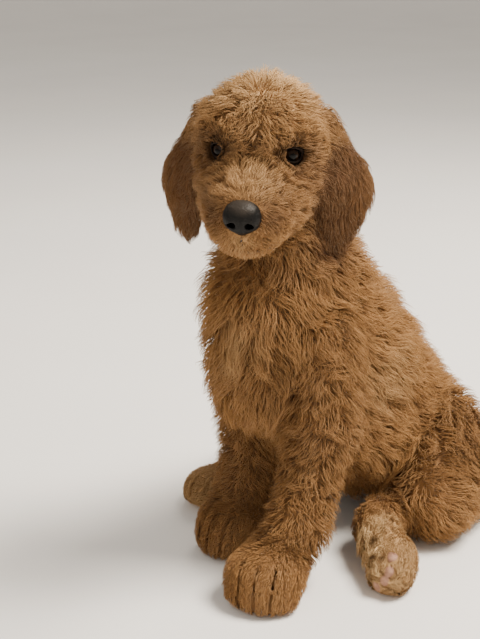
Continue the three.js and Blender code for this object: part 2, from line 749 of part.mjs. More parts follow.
let body = coatOf(trunkForms, COAT.trunk, isBareTrunk);
body = body.add(coatOf(headForms, COAT.head, isBareFace));
for (const joints of Object.values(FORE)) {
  body = body.add(coatOf(foreForms(joints), COAT.fore, isBareLimb));
}
for (const leg of Object.values(HIND)) {
  body = body.add(coatOf(hindForms(leg), COAT.hind, (point) => isBareLimb(point) || point.z < 8));
}
body = body.add(coatOf(tailForms, COAT.tail, isInTrunk));
body = eased(body, COAT_TOLERANCE).add(lipBead());
for (const foot of Object.values(FEET)) {
  for (const toe of toesOf(foot)) body = body.add(toe);
  for (const place of TOE_PLACES) body = body.add(clawOf(foot, place));
}
body = eased(body.subtract(floor), FACE_TOLERANCE);

// Ears hang beside the head. Each meets it at a round root, and lies in a hollow of its coat.
for (const [name, side] of Object.entries(SIDES)) {
  const forms = earForms(side);
  const isInnerFace = (point) => wayOut(forms, point).dot(earFace(side)) < 0.1;
  const flap = coatOf(forms, COAT.ear, isInnerFace).subtract(skinOf(earCupForms(side), COAT.ear.cell));
  const { front, out, up, radius } = EAR_ROOT;
  const root = ball(onHead(front, side * out, up), [radius, radius, radius]);
  const [ear] = partRound(eased(flap, EAR_TOLERANCE).add(root), forms, COAT.ear.cell, EAR_CLEARANCE);
  addNode(`ear_${name}`, ear, 'ear_coat');
  body = partRound(body, forms, COAT.ear.cell, EAR_CLEARANCE)[1];
}

// Eyes sit in their sockets, behind lids
for (const [name, side] of Object.entries(SIDES)) {
  body = body.subtract(ball(besideEye(side, SOCKET_OFFSET), [1, 1, 1].map(() => SOCKET_RADIUS)));
  body = body.add(lidsAround(side)).subtract(eyeSpace(side));
  addNode(`eye_${name}`, ball(eyeCentre(side), [1, 1, 1].map(() => EYE_RADIUS)), 'eye');
}

// The nose leather and its nostrils
addNode('nose', skinOf(noseForms, 6).subtract(nostril(1)).subtract(nostril(-1)), 'nose_leather');
body = body.subtract(skinOf(noseForms, 6, 0, GAP));

// The pads under the feet
for (const [name, foot] of Object.entries(FEET)) {
  addNode(`pads_${name}`, eased(padsOf(foot).subtract(floor), PAD_TOLERANCE), 'pad');
  body = body.subtract(padsOf(foot, GAP + PAD_TOLERANCE));
}

// Legs part from the trunk along their own forms
const INNER_SIDES = {
  left: { point: at(26, 0, 0), normal: new THREE.Vector3(-1, 0, 0) },
  right: null,
};
for (const [name, joints] of Object.entries(FORE)) {
  const [, elbow, wrist, paw] = joints;
  const [leg, rest] = partRound(body, foreForms(joints), 16, 5, INNER_SIDES[name]);
  body = rest;
  const [upper, lower] = partAt(leg, elbow, at(0, -0.35, 1));
  const [forearm, foot] = partAt(lower, wrist.clone().lerp(paw, 0.1), at(0, -0.5, 1));
  addNode(`upper_arm_${name}`, upper, 'coat');
  addNode(`forearm_${name}`, forearm, 'coat');
  addNode(`fore_paw_${name}`, foot, 'coat');
}

for (const [name, leg] of Object.entries(HIND)) {
  const [limb, rest] = partRound(body, hindForms(leg), 16, 5);
  body = rest;
  const ankle = leg.heel.clone().add(at(leg.side * -2, -10, 0));
  const [foot, upper] = partAt(limb, ankle, leg.toe.clone().sub(ankle).setZ(0));
  const [thigh, shank] = partAt(upper, at(leg.side * 80, -190, 44), at(leg.side * -0.35, -0.1, 1));
  addNode(`thigh_${name}`, thigh, 'coat');
  addNode(`shank_${name}`, shank, 'coat');
  addNode(`hind_paw_${name}`, foot, 'coat');
}

// The tail, the lengths of the trunk, the head and the jaw
const [tail, tailless] = partRound(body, tailForms, 14, 5);
const [wholeHead, belowHead] = partAt(tailless, at(27, -32, 290), at(0.25, 0.25, 1));
const [neck, belowNeck] = partAt(belowHead, at(18, -60, 246), at(0.1, 0.45, 1));
const [chest, belowChest] = partAt(belowNeck, at(10, -118, 150), at(0, 1, 0.75));
const [abdomen, rump] = partAt(belowChest, at(4, -168, 100), at(0, 1, 0.55));
addNode('tail', tail, 'coat');
addNode('head', wholeHead.subtract(jawBlock(GAP)), 'coat');
addNode('jaw', wholeHead.intersect(jawBlock(0)), 'coat');
addNode('neck', neck, 'coat');
addNode('chest', chest, 'coat');
addNode('abdomen', abdomen, 'coat');
addNode('rump', rump, 'coat');

// The origin is on the floor, under the middle of the dog
const middle = new THREE.Box3().setFromObject(group).getCenter(new THREE.Vector3());
group.position.set(-middle.x, -middle.y, 0);

export default group;
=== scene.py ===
"""A sitting standard poodle puppy at life size: its skin and coat, eyes, nose, lips, pads and claws."""

import math

import bpy
import numpy as np
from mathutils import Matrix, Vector, kdtree


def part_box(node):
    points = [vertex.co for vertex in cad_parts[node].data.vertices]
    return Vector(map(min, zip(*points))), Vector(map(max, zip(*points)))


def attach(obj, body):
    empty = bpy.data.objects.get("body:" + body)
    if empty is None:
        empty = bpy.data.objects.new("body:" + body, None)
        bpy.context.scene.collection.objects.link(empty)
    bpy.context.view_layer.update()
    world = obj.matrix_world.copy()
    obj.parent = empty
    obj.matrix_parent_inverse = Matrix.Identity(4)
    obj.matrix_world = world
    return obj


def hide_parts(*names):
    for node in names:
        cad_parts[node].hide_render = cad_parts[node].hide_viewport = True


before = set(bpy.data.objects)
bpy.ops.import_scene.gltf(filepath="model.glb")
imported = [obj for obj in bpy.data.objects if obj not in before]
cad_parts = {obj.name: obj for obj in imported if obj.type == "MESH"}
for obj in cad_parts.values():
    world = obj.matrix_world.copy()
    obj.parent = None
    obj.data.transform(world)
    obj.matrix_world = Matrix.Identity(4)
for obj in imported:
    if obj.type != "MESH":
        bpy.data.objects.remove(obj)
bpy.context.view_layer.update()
rng = np.random.default_rng(7)

# Lengths are in millimetres until a mesh is made
MM = 0.001
UP = np.array([0.0, 0.0, 1.0])
SIDES = {"left": 1, "right": -1}
# How softly forms join, and how softly the coat changes from one form to the next
SOFTNESS, LIE_SOFTNESS = 5.0, 9.0
# How far tufts, claws, pads and skin keep clear of the floor, and how high the feet reach
TUFT_LIFT, CLAW_LIFT, PAD_LIFT, FLOOR_LIFT = 0.8, 1.2, 0.1, 0.4
FEET_TOP = 60

# The head turns to the dog's left, drops at the nose and tilts a little. Places on it are forward, to
# its left and up of its centre
HEAD_CENTRE = (30, -17, 331)
HEAD_TURN, HEAD_DROP, HEAD_TILT = (math.radians(a) for a in (35, 12, 2))
EYE_PLACE = (22.5, 21, 4)
EYE_RADIUS = 9.0
NOSE_PLACE = (86, 0, -18)
# The lips bend round the front of the muzzle, by as many degrees to each side
MUZZLE_FRONT, LIP_BEND, LIP_TURN, LIP_POINTS = 60, 21, 105, 48
# Forward and up of the line of the mouth
MOUTH_CORNER, MOUTH_MIDDLE, MOUTH_FRONT = (45, -39), (64, -47), (100, -41)


def unit(v):
    return v / np.maximum(np.linalg.norm(v, axis=-1, keepdims=True), 1e-9)


def at(left, forward, up):
    """A point: left of the midline, forward of the left fore paw, above the floor."""
    return np.array([left, -forward, up], dtype=float)


def head_axes():
    turn, drop, tilt = HEAD_TURN, HEAD_DROP, HEAD_TILT
    front = at(math.sin(turn) * math.cos(drop), math.cos(turn) * math.cos(drop), -math.sin(drop))
    side = at(math.cos(turn), -math.sin(turn), 0)
    crown = np.cross(front, side)
    left = side * math.cos(tilt) - crown * math.sin(tilt)
    up = crown * math.cos(tilt) + side * math.sin(tilt)
    return front, left, up


FRONT, LEFT, CROWN = head_axes()


def on_head(front, left, up):
    return at(*HEAD_CENTRE) + front * FRONT + left * LEFT + up * CROWN


def eye_centre(side):
    return on_head(EYE_PLACE[0], side * EYE_PLACE[1], EYE_PLACE[2])


# The frame's origin, found from the place of the left eye
eye_box = [np.array(corner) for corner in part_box("eye_left")]
SHIFT = (eye_box[0] + eye_box[1]) / 2 / MM - eye_centre(1)


def placed(points):
    """Millimetres of the working frame to metres of the model's frame."""
    return (points + SHIFT) * MM


# The coat of each region. Its depth is how far under its tips the skin lies. A lock is as wide as it says
# and draws its tufts together, which stray from the lie of the coat and cling to the skin.
COAT_VALUES = "depth", "length", "rise", "curl", "width", "spacing", "lock", "draw", "stray", "cling", "dark"
COAT_ROWS = {
    "trunk": (16, 20, 18.5, 1.9, 0.54, 2.18, 10, 0.25, 0.42, 0.8, 0.12),
    "neck": (16, 20, 18.5, 1.9, 0.54, 2.1, 9, 0.28, 0.5, 0.7, 0.2),
    "crown": (9.5, 11, 11.5, 1.4, 0.43, 1.45, 6, 0.28, 0.65, 0.55, 0.0),
    "cheek": (9.5, 11, 10.8, 1.2, 0.4, 1.45, 6, 0.3, 0.65, 0.5, 0.12),
    "muzzle": (4.5, 8, 5.6, 0.8, 0.34, 1.15, 5, 0.25, 0.6, 0.55, 0.1),
    "ear": (4, 17, 5.2, 2.2, 0.5, 1.8, 8, 0.4, 0.25, 0.3, 0.8),
    "fore": (10, 11, 12, 1.3, 0.48, 1.85, 7, 0.28, 0.6, 0.8, 0.34),
    "hind": (12, 15, 14, 1.7, 0.54, 2.15, 9, 0.25, 0.5, 0.8, 0.3),
    "paw": (4, 7.5, 4.6, 0.6, 0.4, 1.45, 5, 0.2, 0.3, 0.8, 0.3),
    "toe": (2, 5.5, 2.6, 0.3, 0.35, 1.25, 4, 0.08, 0.2, 0.85, 0.22),
    "tail": (7, 14, 8.5, 1.9, 0.52, 2.0, 8, 0.35, 0.5, 0.6, 0.2),
}
COATS = {region: dict(zip(COAT_VALUES, row)) for region, row in COAT_ROWS.items()}
# The points that the coat of the crown and of the face lies away from
CROWN_PARTING, FACE_PARTING = on_head(8, 0, 50), on_head(92, 0, -6)
forms = []


def shape(start, end, start_radius, end_radius, flat_axis=None, flatness=1.0):
    """A tapered round form, flattened along an axis where that is given."""
    radii = (start_radius, end_radius)
    return dict(start=start, end=end, radii=radii, flat_axis=flat_axis, flatness=flatness)


def form(piece, coat, start, end, start_radius, end_radius, parted_at=None, **flat):
    """A form of the body out to the tips of the coat, which lies from its start to its end, or away
    from the point where it is parted."""
    depth = COATS[coat]["depth"]
    body_form = shape(start, end, start_radius - depth, end_radius - depth, **flat)
    forms.append(body_form | dict(piece=piece, coat=coat, parted_at=parted_at))


form("chest", "trunk", at(14, -40, 206), at(7, -53, 152), 55, 56)
form("back", "trunk", at(18, -84, 214), at(8, -128, 150), 54, 66)
form("back", "trunk", at(8, -128, 150), at(2, -176, 100), 66, 66)
form("belly", "trunk", at(10, -104, 106), at(10, -160, 74), 58, 64)
form("rump", "trunk", at(2, -176, 98), at(0, -208, 66), 64, 67)
form("neck", "neck", at(24, -32, 290), at(18, -54, 236), 46, 55)
form("head", "crown", on_head(-4, 0, 4), on_head(4, 0, 4), 47, 45, CROWN_PARTING)
form("face", "muzzle", on_head(24, 0, -20), on_head(MUZZLE_FRONT, 0, -26), 35, 30, FACE_PARTING)
for side in SIDES.values():
    cheek = on_head(10, side * 20, -16), on_head(34, side * 14, -26)
    brow = on_head(26, side * 15, 19), on_head(18, side * 27, 15)
    form("face", "cheek", *cheek, 28, 26, FACE_PARTING)
    form("head", "crown", *brow, 17, 16, CROWN_PARTING)
form("tail", "tail", at(0, -252, 56), at(12, -292, 26), 25, 24)
form("tail", "tail", at(12, -292, 25), at(34, -334, 20), 24, 19)


def ear_face(side):
    """The way the outer face of an ear looks."""
    return 0.6 * FRONT + 0.8 * side * LEFT


EAR_FLATNESS = 0.5
for name, side in SIDES.items():
    root, middle = on_head(-8, side * 41, 12), on_head(-13, side * 56, -40)
    tip = on_head(-8, side * 56, -64)
    form(f"ear_{name}", "ear", root, middle, 15, 27, flat_axis=ear_face(side), flatness=EAR_FLATNESS)
    form(f"ear_{name}", "ear", middle, tip, 27, 16, flat_axis=ear_face(side), flatness=EAR_FLATNESS)

# Shoulder, elbow, wrist, paw and row of toes of each fore leg, and heel, toes and roll of each hind
# paw, which has rolled onto its outer side on the left
FORE = {
    "left": (at(48, -60, 180), at(56, -56, 118), at(62, -25, 48), at(58, 0, 22), at(68, 22, 10)),
    "right": (at(-9, -54, 180), at(-19, -58, 118), at(-17, -48, 45), at(-12, -40, 22), at(-12, -16, 10)),
}
HIND = {
    "left": (at(76, -100, 26), at(118, -66, 16), -2.0),
    "right": (at(-74, -132, 20), at(-84, -66, 14), 0.15),
}
# Each foot's size, and how deep its sole lies under the middle of its row of toes
FORE_SIZES = {"left": (1.0, 8.5), "right": (0.95, 8.5)}
HIND_SIZES = {"left": (0.8, 14.5), "right": (0.8, 14.0)}
# How high toes arch, how far they and their pads reach, how far apart they stand, and how far the outer
# ones are set back
FORE_TOES = dict(arch=15, reach=4.5, pads=4, spread=12.5, back=7.3)
HIND_TOES = dict(arch=4, reach=13, pads=12, spread=11, back=9.5)
PAW_FLATNESS = 0.8
TOE_WIDTH = 15
TOE_PLACES = (-1.5, -0.5, 0.5, 1.5)
FEET = {}


def foot_frame(tip, heel, toes, roll, size, sole):
    """A foot's toes point from its heel, and it is rolled about that line. The tip is the middle of its
    row of toes."""
    front = unit((toes - heel) * (1, 1, 0))
    level = np.cross(UP, front)
    across = level * math.cos(roll) + np.cross(front, level) * math.sin(roll)
    over = UP * math.cos(roll) + np.cross(front, UP) * math.sin(roll)
    return dict(tip=tip, front=front, across=across, over=over, size=size, sole=sole)


def on_foot(foot, forward, across, down):
    reach = forward * foot["front"] + across * foot["across"] - down * foot["over"]
    return foot["tip"] + foot["size"] * reach


def set_back(foot, place):
    """The two middle toes reach ahead of the outer ones."""
    return max(abs(place) - 0.5, 0) * foot["back"]


for name, (shoulder, elbow, wrist, paw, tip) in FORE.items():
    leg = f"fore_{name}"
    FEET[leg] = foot_frame(tip, paw, tip, 0, *FORE_SIZES[name]) | FORE_TOES
    heel, toes = paw - 8 * FEET[leg]["front"] - 2 * UP, paw + 10 * FEET[leg]["front"] - 4 * UP
    form(leg, "fore", shoulder, elbow, 33, 30)
    form(leg, "fore", elbow, wrist, 29, 25)
    form(leg, "fore", wrist, paw, 25, 24)
    form(leg, "paw", heel, toes, 26, 22, flat_axis=UP, flatness=PAW_FLATNESS)

for name, (heel, toe, roll) in HIND.items():
    leg, side = f"hind_{name}", SIDES[name]
    tip = toe + at(side * -3, -5, -1)
    FEET[leg] = foot_frame(tip, heel, toe, roll, *HIND_SIZES[name]) | HIND_TOES
    form(leg, "hind", at(side * 48, -208, 58), at(side * 90, -158, 34), 52, 33)
    form(leg, "hind", at(side * 92, -158, 32), at(side * 84, -228, 26), 33, 30)
    form(leg, "hind", at(side * 70, -240, 20), heel + at(side * -4, -18, -2), 21, 20)
    end = toe - 4 * FEET[leg]["front"]
    form(leg, "paw", heel, end, 22.5, 16.5, flat_axis=FEET[leg]["over"], flatness=PAW_FLATNESS)

# Each toe arches over a knuckle to its end
for name, foot in FEET.items():
    radius = foot["size"] * 0.5 * TOE_WIDTH + 1.0
    for place in TOE_PLACES:
        back, arch, spread = set_back(foot, place), foot["arch"], place * foot["spread"]
        heel = on_foot(foot, -14 - back, 0.7 * spread, -arch)
        knuckle = on_foot(foot, foot["reach"] - 8 - back, 0.95 * spread, -arch * 0.85)
        end = on_foot(foot, foot["reach"] - back, spread, 0)
        form(name, "toe", heel, knuckle, radius, radius + 0.4)
        form(name, "toe", knuckle, end, radius + 0.4, radius)


def away_from(one, points):
    """From the middle line of a form to the points, how long that is, and the form's radius there."""
    axis = one["end"] - one["start"]
    offset = points - one["start"]
    share = np.clip(offset @ axis / max(axis @ axis, 1e-9), 0, 1)
    away = offset - share[:, None] * axis
    if one["flat_axis"] is not None:
        stretch = (away @ one["flat_axis"]) * (1 / one["flatness"] - 1)
        away = away + stretch[:, None] * one["flat_axis"]
    start, end = one["radii"]
    return np.sqrt((away**2).sum(axis=1)) - (start + (end - start) * share)


def distance_to_any(shapes, points):
    """How far the points are outside the nearest of some forms."""
    return np.min([away_from(one, points) for one in shapes], axis=0)


# A change matters only this near the surface, and nothing is the sum far outside all forms
CHANGE_REACH, NOTHING = 12, 1e-12


class Grid:
    """The softly joined field of some forms, right within the margin of their surface. The change cuts
    into it."""

    def __init__(self, shapes, cell, margin, softness, change):
        ends = np.array([[one["start"], one["end"]] for one in shapes])
        reach = np.array([max(one["radii"]) for one in shapes])[:, None] + margin
        lows, highs = ends.min(axis=1) - reach, ends.max(axis=1) + reach
        lows[:, 2] = np.maximum(lows[:, 2], -2 * cell)
        self.low, self.cell = lows.min(axis=0), cell
        self.counts = np.ceil((highs.max(axis=0) - self.low) / cell).astype(int) + 1
        total = np.full(self.counts, NOTHING)
        for one, low, high in zip(shapes, lows, highs):
            first = np.floor((low - self.low) / cell).astype(int)
            last = np.minimum(np.ceil((high - self.low) / cell).astype(int) + 1, self.counts)
            block = tuple(slice(a, b) for a, b in zip(first, last))
            distance = away_from(one, self.points(first, last)).reshape(last - first)
            total[block] += np.exp(-distance / softness)
        plain = -softness * np.log(total)
        near = np.flatnonzero(np.abs(plain) < CHANGE_REACH)
        near_points = self.points(np.zeros(3, int), self.counts)[near]
        self.values = plain.copy()
        self.values.ravel()[near] = change(near_points, plain.ravel()[near])
        self.slopes = np.stack([plain, *np.gradient(plain, cell)], axis=-1).astype(np.float32)

    def points(self, first, last):
        steps = np.meshgrid(*[np.arange(a, b) for a, b in zip(first, last)], indexing="ij")
        return np.stack(steps, axis=-1).reshape(-1, 3) * self.cell + self.low

    def sampled(self, points):
        """The field and the way it grows at any points, before the change."""
        place = np.clip((points - self.low) / self.cell, 0, self.counts - 1.001)
        first = place.astype(int)
        share = place - first
        result = 0
        for corner in range(8):
            step = np.array([corner & 1, corner >> 1 & 1, corner >> 2 & 1])
            weight = np.where(step, share, 1 - share).prod(axis=1)
            result = result + weight[:, None] * self.slopes[tuple((first + step).T)]
        return result[:, 0], result[:, 1:]

    def surface(self):
        """A closed surface where the values cross zero: a point in each crossed cell, and a face round
        each crossed edge."""
        values = self.values
        cells = np.array(values.shape) - 1
        inside = values < 0
        cell_ids, places, rings = [], [], []
        for way in range(3):
            crossed = np.argwhere(np.diff(inside, axis=way))
            low = values[tuple(crossed.T)]
            high = values[tuple((crossed + np.eye(3, dtype=int)[way]).T)]
            place = crossed.astype(float)
            place[:, way] += low / (low - high)
            sides = [(way + 1) % 3, (way + 2) % 3]
            ring = []
            for offset in ((0, 0), (1, 0), (1, 1), (0, 1)):
                cell_of = crossed.copy()
                cell_of[:, sides] -= offset
                ring.append(np.ravel_multi_index(np.clip(cell_of, 0, cells - 1).T, cells))
                cell_ids.append(ring[-1])
                places.append(place)
            ring = np.array(ring).T
            ring[low > 0] = ring[low > 0][:, ::-1]
            rings.append(ring)
        used, where = np.unique(np.concatenate(cell_ids), return_inverse=True)
        places = np.concatenate(places)
        count = np.bincount(where)
        points = np.stack([np.bincount(where, places[:, axis]) / count for axis in range(3)], axis=1)
        return points * self.cell + self.low, np.searchsorted(used, np.vstack(rings))


def added(name, data):
    """A new object in the scene."""
    piece = bpy.data.objects.new(name, data)
    bpy.context.scene.collection.objects.link(piece)
    return piece


def new_mesh(name, points, faces):
    """A smooth mesh object from points and faces that all have as many corners."""
    mesh = bpy.data.meshes.new(name)
    faces = np.asarray(faces)
    mesh.vertices.add(len(points))
    mesh.vertices.foreach_set("co", placed(points).ravel())
    mesh.loops.add(faces.size)
    mesh.loops.foreach_set("vertex_index", faces.ravel())
    mesh.polygons.add(len(faces))
    mesh.polygons.foreach_set("loop_start", np.arange(0, faces.size, faces.shape[1]))
    mesh.polygons.foreach_set("use_smooth", np.full(len(faces), True))
    mesh.update(calc_edges=True)
    piece = added(name, mesh)
    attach(piece, "root")
    return piece


def set_values(piece, **values):
    for name, numbers in values.items():
        attribute = piece.data.attributes.new(name, "FLOAT", "POINT")
        attribute.data.foreach_set("value", np.asarray(numbers, dtype=np.float32).ravel())


CHART_FILL, CHART_EDGE = 0.9, 0.05


def unwrap(points, normals, low, size):
    """Six charts, one for each way the skin looks, set side by side in a square."""
    way = np.argmax(np.abs(normals), axis=1)[:, None]
    row = np.take_along_axis(normals, way, 1) > 0
    flat = np.take_along_axis((points - low) / size, (way + [1, 2]) % 3, 1)
    return (flat * CHART_FILL + CHART_EDGE + np.hstack([way, row])) / (3, 2)


def set_unwrap(piece, uv):
    layer = piece.data.uv_layers.new(name="OFBake")
    layer.data.foreach_set("uv", np.asarray(uv, dtype=np.float32).ravel())


def unwrap_faces(piece, points, faces):
    """Each face goes whole into the chart of its own normal."""
    normals = np.empty(len(faces) * 3)
    piece.data.polygons.foreach_get("normal", normals)
    normals = np.repeat(normals.reshape(-1, 3), faces.shape[1], axis=0)
    low, size = points.min(axis=0), np.ptp(points, axis=0).max()
    set_unwrap(piece, unwrap(points[faces.ravel()], normals, low, size))


# Half the length and height of the opening and of the bare skin round it, the droop of the outer corner,
# and the hollow in the skin
LID_OPENING = (7.2, 4.7)
EYE_BARE = (8.1, 5.6)
EYE_DROOP = math.radians(14)
SOCKET_OUT, SOCKET_RADIUS = 6.0, 9.6
FAR_ZONE = 9


def eye_axes(side):
    """The way an eye's opening looks, and its long and short axes."""
    out = unit(unit(eye_centre(side) - on_head(0, 0, 0)) + 0.25 * FRONT)
    level = unit(side * LEFT - side * (LEFT @ out) * out)
    above = side * np.cross(out, level)
    long = level * math.cos(EYE_DROOP) - above * math.sin(EYE_DROOP)
    short = above * math.cos(EYE_DROOP) + level * math.sin(EYE_DROOP)
    return out, long, short


def eye_zone(points):
    """How far the points are from the nearest eye, as a share of the bare opening."""
    zones = []
    for side in SIDES.values():
        out, long, short = eye_axes(side)
        offset = points - eye_centre(side)
        zone = np.hypot(offset @ long / EYE_BARE[0], offset @ short / EYE_BARE[1])
        zones.append(np.where(offset @ out > -2, zone, FAR_ZONE))
    return np.min(zones, axis=0)


def eye_distance(points):
    """How far the points are from the middle of the nearest socket."""
    centres = [eye_centre(side) + SOCKET_OUT * eye_axes(side)[0] for side in SIDES.values()]
    return np.min([np.linalg.norm(points - centre, axis=1) for centre in centres], axis=0)


def mouth_level(front):
    """How high the line of the mouth is, from its corners to the front."""
    share = np.clip((front - MOUTH_CORNER[0]) / (MOUTH_FRONT[0] - MOUTH_CORNER[0]), 0, 1)
    corner, middle, end = MOUTH_CORNER[1], MOUTH_MIDDLE[1], MOUTH_FRONT[1]
    return corner * (1 - share) ** 2 + 2 * middle * share * (1 - share) + end * share**2


def lip_points(level=0.0):
    """The line of the mouth round the muzzle, from one corner to the other."""
    turn = np.radians(np.linspace(-LIP_TURN, LIP_TURN, LIP_POINTS))
    front, across = MUZZLE_FRONT - 4 + LIP_BEND * np.cos(turn), LIP_BEND * np.sin(turn)
    return np.array([on_head(f, a, mouth_level(f) + level) for f, a in zip(front, across)])


def nearest(points, places):
    """How far each point is from the nearest of some places."""
    return np.sqrt(((points[:, None] - places[None]) ** 2).sum(axis=2)).min(axis=1)


# Slits between neighbouring toes follow their arch: forward, and up by a share of the arch and more
SLIT_PATH = ((-1.5, 0.8, 9.5), (5.5, 0.55, 5.5), (9.5, 0.0, 0.0), (8.0, 0.0, -7.0))
SLIT_DEPTH, SLIT_FLATNESS = 4.8, 0.22
slit_forms = []
for foot in FEET.values():
    for place in (-1, 0, 1):
        ahead = foot["reach"] - (set_back(foot, place - 0.5) + set_back(foot, place + 0.5)) / 2
        path = [
            on_foot(foot, ahead + forward, place * foot["spread"], -arched * foot["arch"] - more)
            for forward, arched, more in SLIT_PATH
        ]
        depth = SLIT_DEPTH * foot["size"]
        for start, end in zip(path, path[1:]):
            slit_forms.append(shape(start, end, depth, depth, foot["across"], SLIT_FLATNESS))

# Pads: a heel pad in three lobes (forward, across and radius), and toe pads
HEEL_LOBES = ((-9.5, 0, 6.4), (-13.5, 7, 5.4), (-13.5, -7, 5.4))
HEEL_FLATNESS, TOE_PAD_FLATNESS = 0.5, 0.62
pad_forms = {}
for name, foot in FEET.items():
    size, over, sole = foot["size"], foot["over"], foot["sole"]
    pad_forms[name] = []
    for ahead, across, radius in HEEL_LOBES:
        start = on_foot(foot, ahead, across, sole - 0.5)
        end = on_foot(foot, ahead - 3, across * 1.1, sole - 0.5)
        pad_forms[name].append(shape(start, end, radius * size, radius * size, over, HEEL_FLATNESS))
    for place in TOE_PLACES:
        ahead, across = foot["pads"] - set_back(foot, place), place * 0.9 * foot["spread"]
        start, end = on_foot(foot, ahead, across, sole - 1), on_foot(foot, ahead - 3, across, sole - 1)
        pad_forms[name].append(shape(start, end, 4.6 * size, 4.8 * size, over, TOE_PAD_FLATNESS))


def low_down(points):
    """The points that may be near a toe."""
    return np.flatnonzero(points[:, 2] < FEET_TOP)


NOSE_ROOM, NOSE_HOLLOW = 18, 1.2


def carved(points, values):
    """The skin is level at the floor, open round the eyes, hollow under the nose and slit between toes."""
    values = np.maximum(values, FLOOR_LIFT - points[:, 2])
    values = np.maximum(values, SOCKET_RADIUS - eye_distance(points))
    nose = np.flatnonzero(np.linalg.norm(points - on_head(*NOSE_PLACE), axis=1) < NOSE_ROOM)
    values[nose] = np.maximum(values[nose], -NOSE_HOLLOW - distance_to_any(nose_forms, points[nose]))
    low = low_down(points)
    values[low] = np.maximum(values[low], -distance_to_any(slit_forms, points[low]))
    return values


# Nose: two halves and their wings over a philtrum, with nostrils that run back to slits at the sides
nose_forms = [shape(on_head(82, 0, -17.5), on_head(82.5, 0, -25), 6.6, 4.4)]
nose_cuts = [shape(on_head(94, 0, -19), on_head(88, 0, -34), 0.9, 0.9)]
for side in SIDES.values():
    nose_forms.append(shape(on_head(81, side * 4, -15.5), on_head(81, side * 4.8, -16.5), 6.4, 5.8))
    nose_forms.append(shape(on_head(82.5, side * 5.6, -20), on_head(81, side * 6.8, -21.5), 4.6, 3.8))
    nose_cuts.append(shape(on_head(92, side * 4.8, -21.2), on_head(83, side * 6.2, -20.6), 2.4, 2.0))
    nose_cuts.append(shape(on_head(88, side * 6.8, -21.4), on_head(80, side * 12.4, -21.6), 1.5, 0.8))


# Skin: the cell of its net, and how far over it the tufts may reach
SKIN_CELL, TUFT_ROOM = 2.0, 32
body = Grid(forms, SKIN_CELL, TUFT_ROOM, SOFTNESS, carved)
skin_points, skin_faces = body.surface()
skin = new_mesh("skin", skin_points, skin_faces)
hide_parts(*[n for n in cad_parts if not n.startswith(("eye", "nose", "pads"))])
unwrap_faces(skin, skin_points, skin_faces)


def coat_at(weights, name):
    """A property of the coat where the forms have these weights."""
    return weights @ np.array([COATS[one["coat"]][name] for one in forms], dtype=float)


def weights_at(points):
    """How much each form has to say at the points."""
    apart = np.stack([away_from(one, points) for one in forms], axis=1)
    weights = np.exp((apart.min(axis=1)[:, None] - apart) / LIE_SOFTNESS)
    return weights / weights.sum(axis=1, keepdims=True)


# The coat parts round the eyes: how strongly, up to where in full, and how far on it fades
PART_STRENGTH, PART_NEAR, PART_FADE = 2.5, 8, 17


def lies_at(points, weights):
    """The way the coat lies."""
    lie = np.zeros((len(points), 3))
    for i, one in enumerate(forms):
        way = one["end"] - one["start"] if one["parted_at"] is None else points - one["parted_at"]
        lie += weights[:, i : i + 1] * unit(way)
    for side in SIDES.values():
        offset = points - eye_centre(side) - SOCKET_OUT * eye_axes(side)[0]
        apart = np.linalg.norm(offset, axis=1, keepdims=True)
        share = np.clip(1 - (apart - PART_NEAR) / PART_FADE, 0, 1)
        lie += PART_STRENGTH * share * offset / np.maximum(apart, 1)
    return lie


def blob(points, place, size):
    """A soft round mark: 1 in its middle, and fading at its size."""
    return np.exp(-(((points - place) / size) ** 2).sum(axis=1))


# Painted shade on the face, where shade falls in the stop between the eyes, round the eyes, beside the nose,
# on the sides of the muzzle, under the chin and between cheeks and ears; in its middle or on both sides:
# forward, across, up, size and strength
FACE_SHADE_SPOTS = ((38, 0, 6, 13, 0.6), (80, 16, -19, 9, 0.6), (34, 27, 2, 11, 0.4))
FACE_SHADE_SPOTS += ((62, 0, -54, 12, 0.3), (66, 27, -14, 17, 0.55), (30, 40, -18, 20, 0.5))
PAINTED_SHADE_MARKS = []
for front, across, up, size, strength in FACE_SHADE_SPOTS:
    for side in SIDES.values() if across else [0]:
        PAINTED_SHADE_MARKS.append((on_head(front, side * across, up), size, strength))
# Pale marks, and painted light among them: place, size and strength
PALE_AND_LIT_MARKS = [
    (FEET["hind_right"]["tip"], 24, 0.8),
    (on_head(87, 0, -35), 8, 0.4),
    (on_head(64, 0, 2), 15, 0.35),
    (at(22, 2, 198), 15, 0.4),
    (at(15, -3, 180), 13, 0.35),
    # Painted light on the crown, where the light from above falls
    (on_head(-6, 0, 52), 38, 0.62),
    # A painted highlight on the bulge of the left flank
    (at(73, -117, 146), 26, 0.36),
]


EAR_ROOT_LEVEL, FOLD_FADE = 8, 16


def crease(points, weights):
    """How near the points are to the fold between an ear and what it hangs against."""
    ear = weights @ np.array([one["coat"] == "ear" for one in forms], dtype=float)
    drop = np.clip((EAR_ROOT_LEVEL - (points - on_head(0, 0, 0)) @ CROWN) / FOLD_FADE, 0, 1)
    return 4 * ear * (1 - ear) * drop


# How much painted shade darkens the folds where the ears hang against the head, how dark the rims of the eyes
# are together with the painted shade of their sockets, and how much painted shade darkens the slits of the
# toes
FOLD_SHADE, RIM_DARK_AND_SHADE, SLIT_SHADE = 0.8, 0.85, 0.5
# The dark rim and the painted shade of the socket round it end this many times the bare opening out, and fade
# over as many
RIM_END, RIM_FADE = 3.4, 1.7


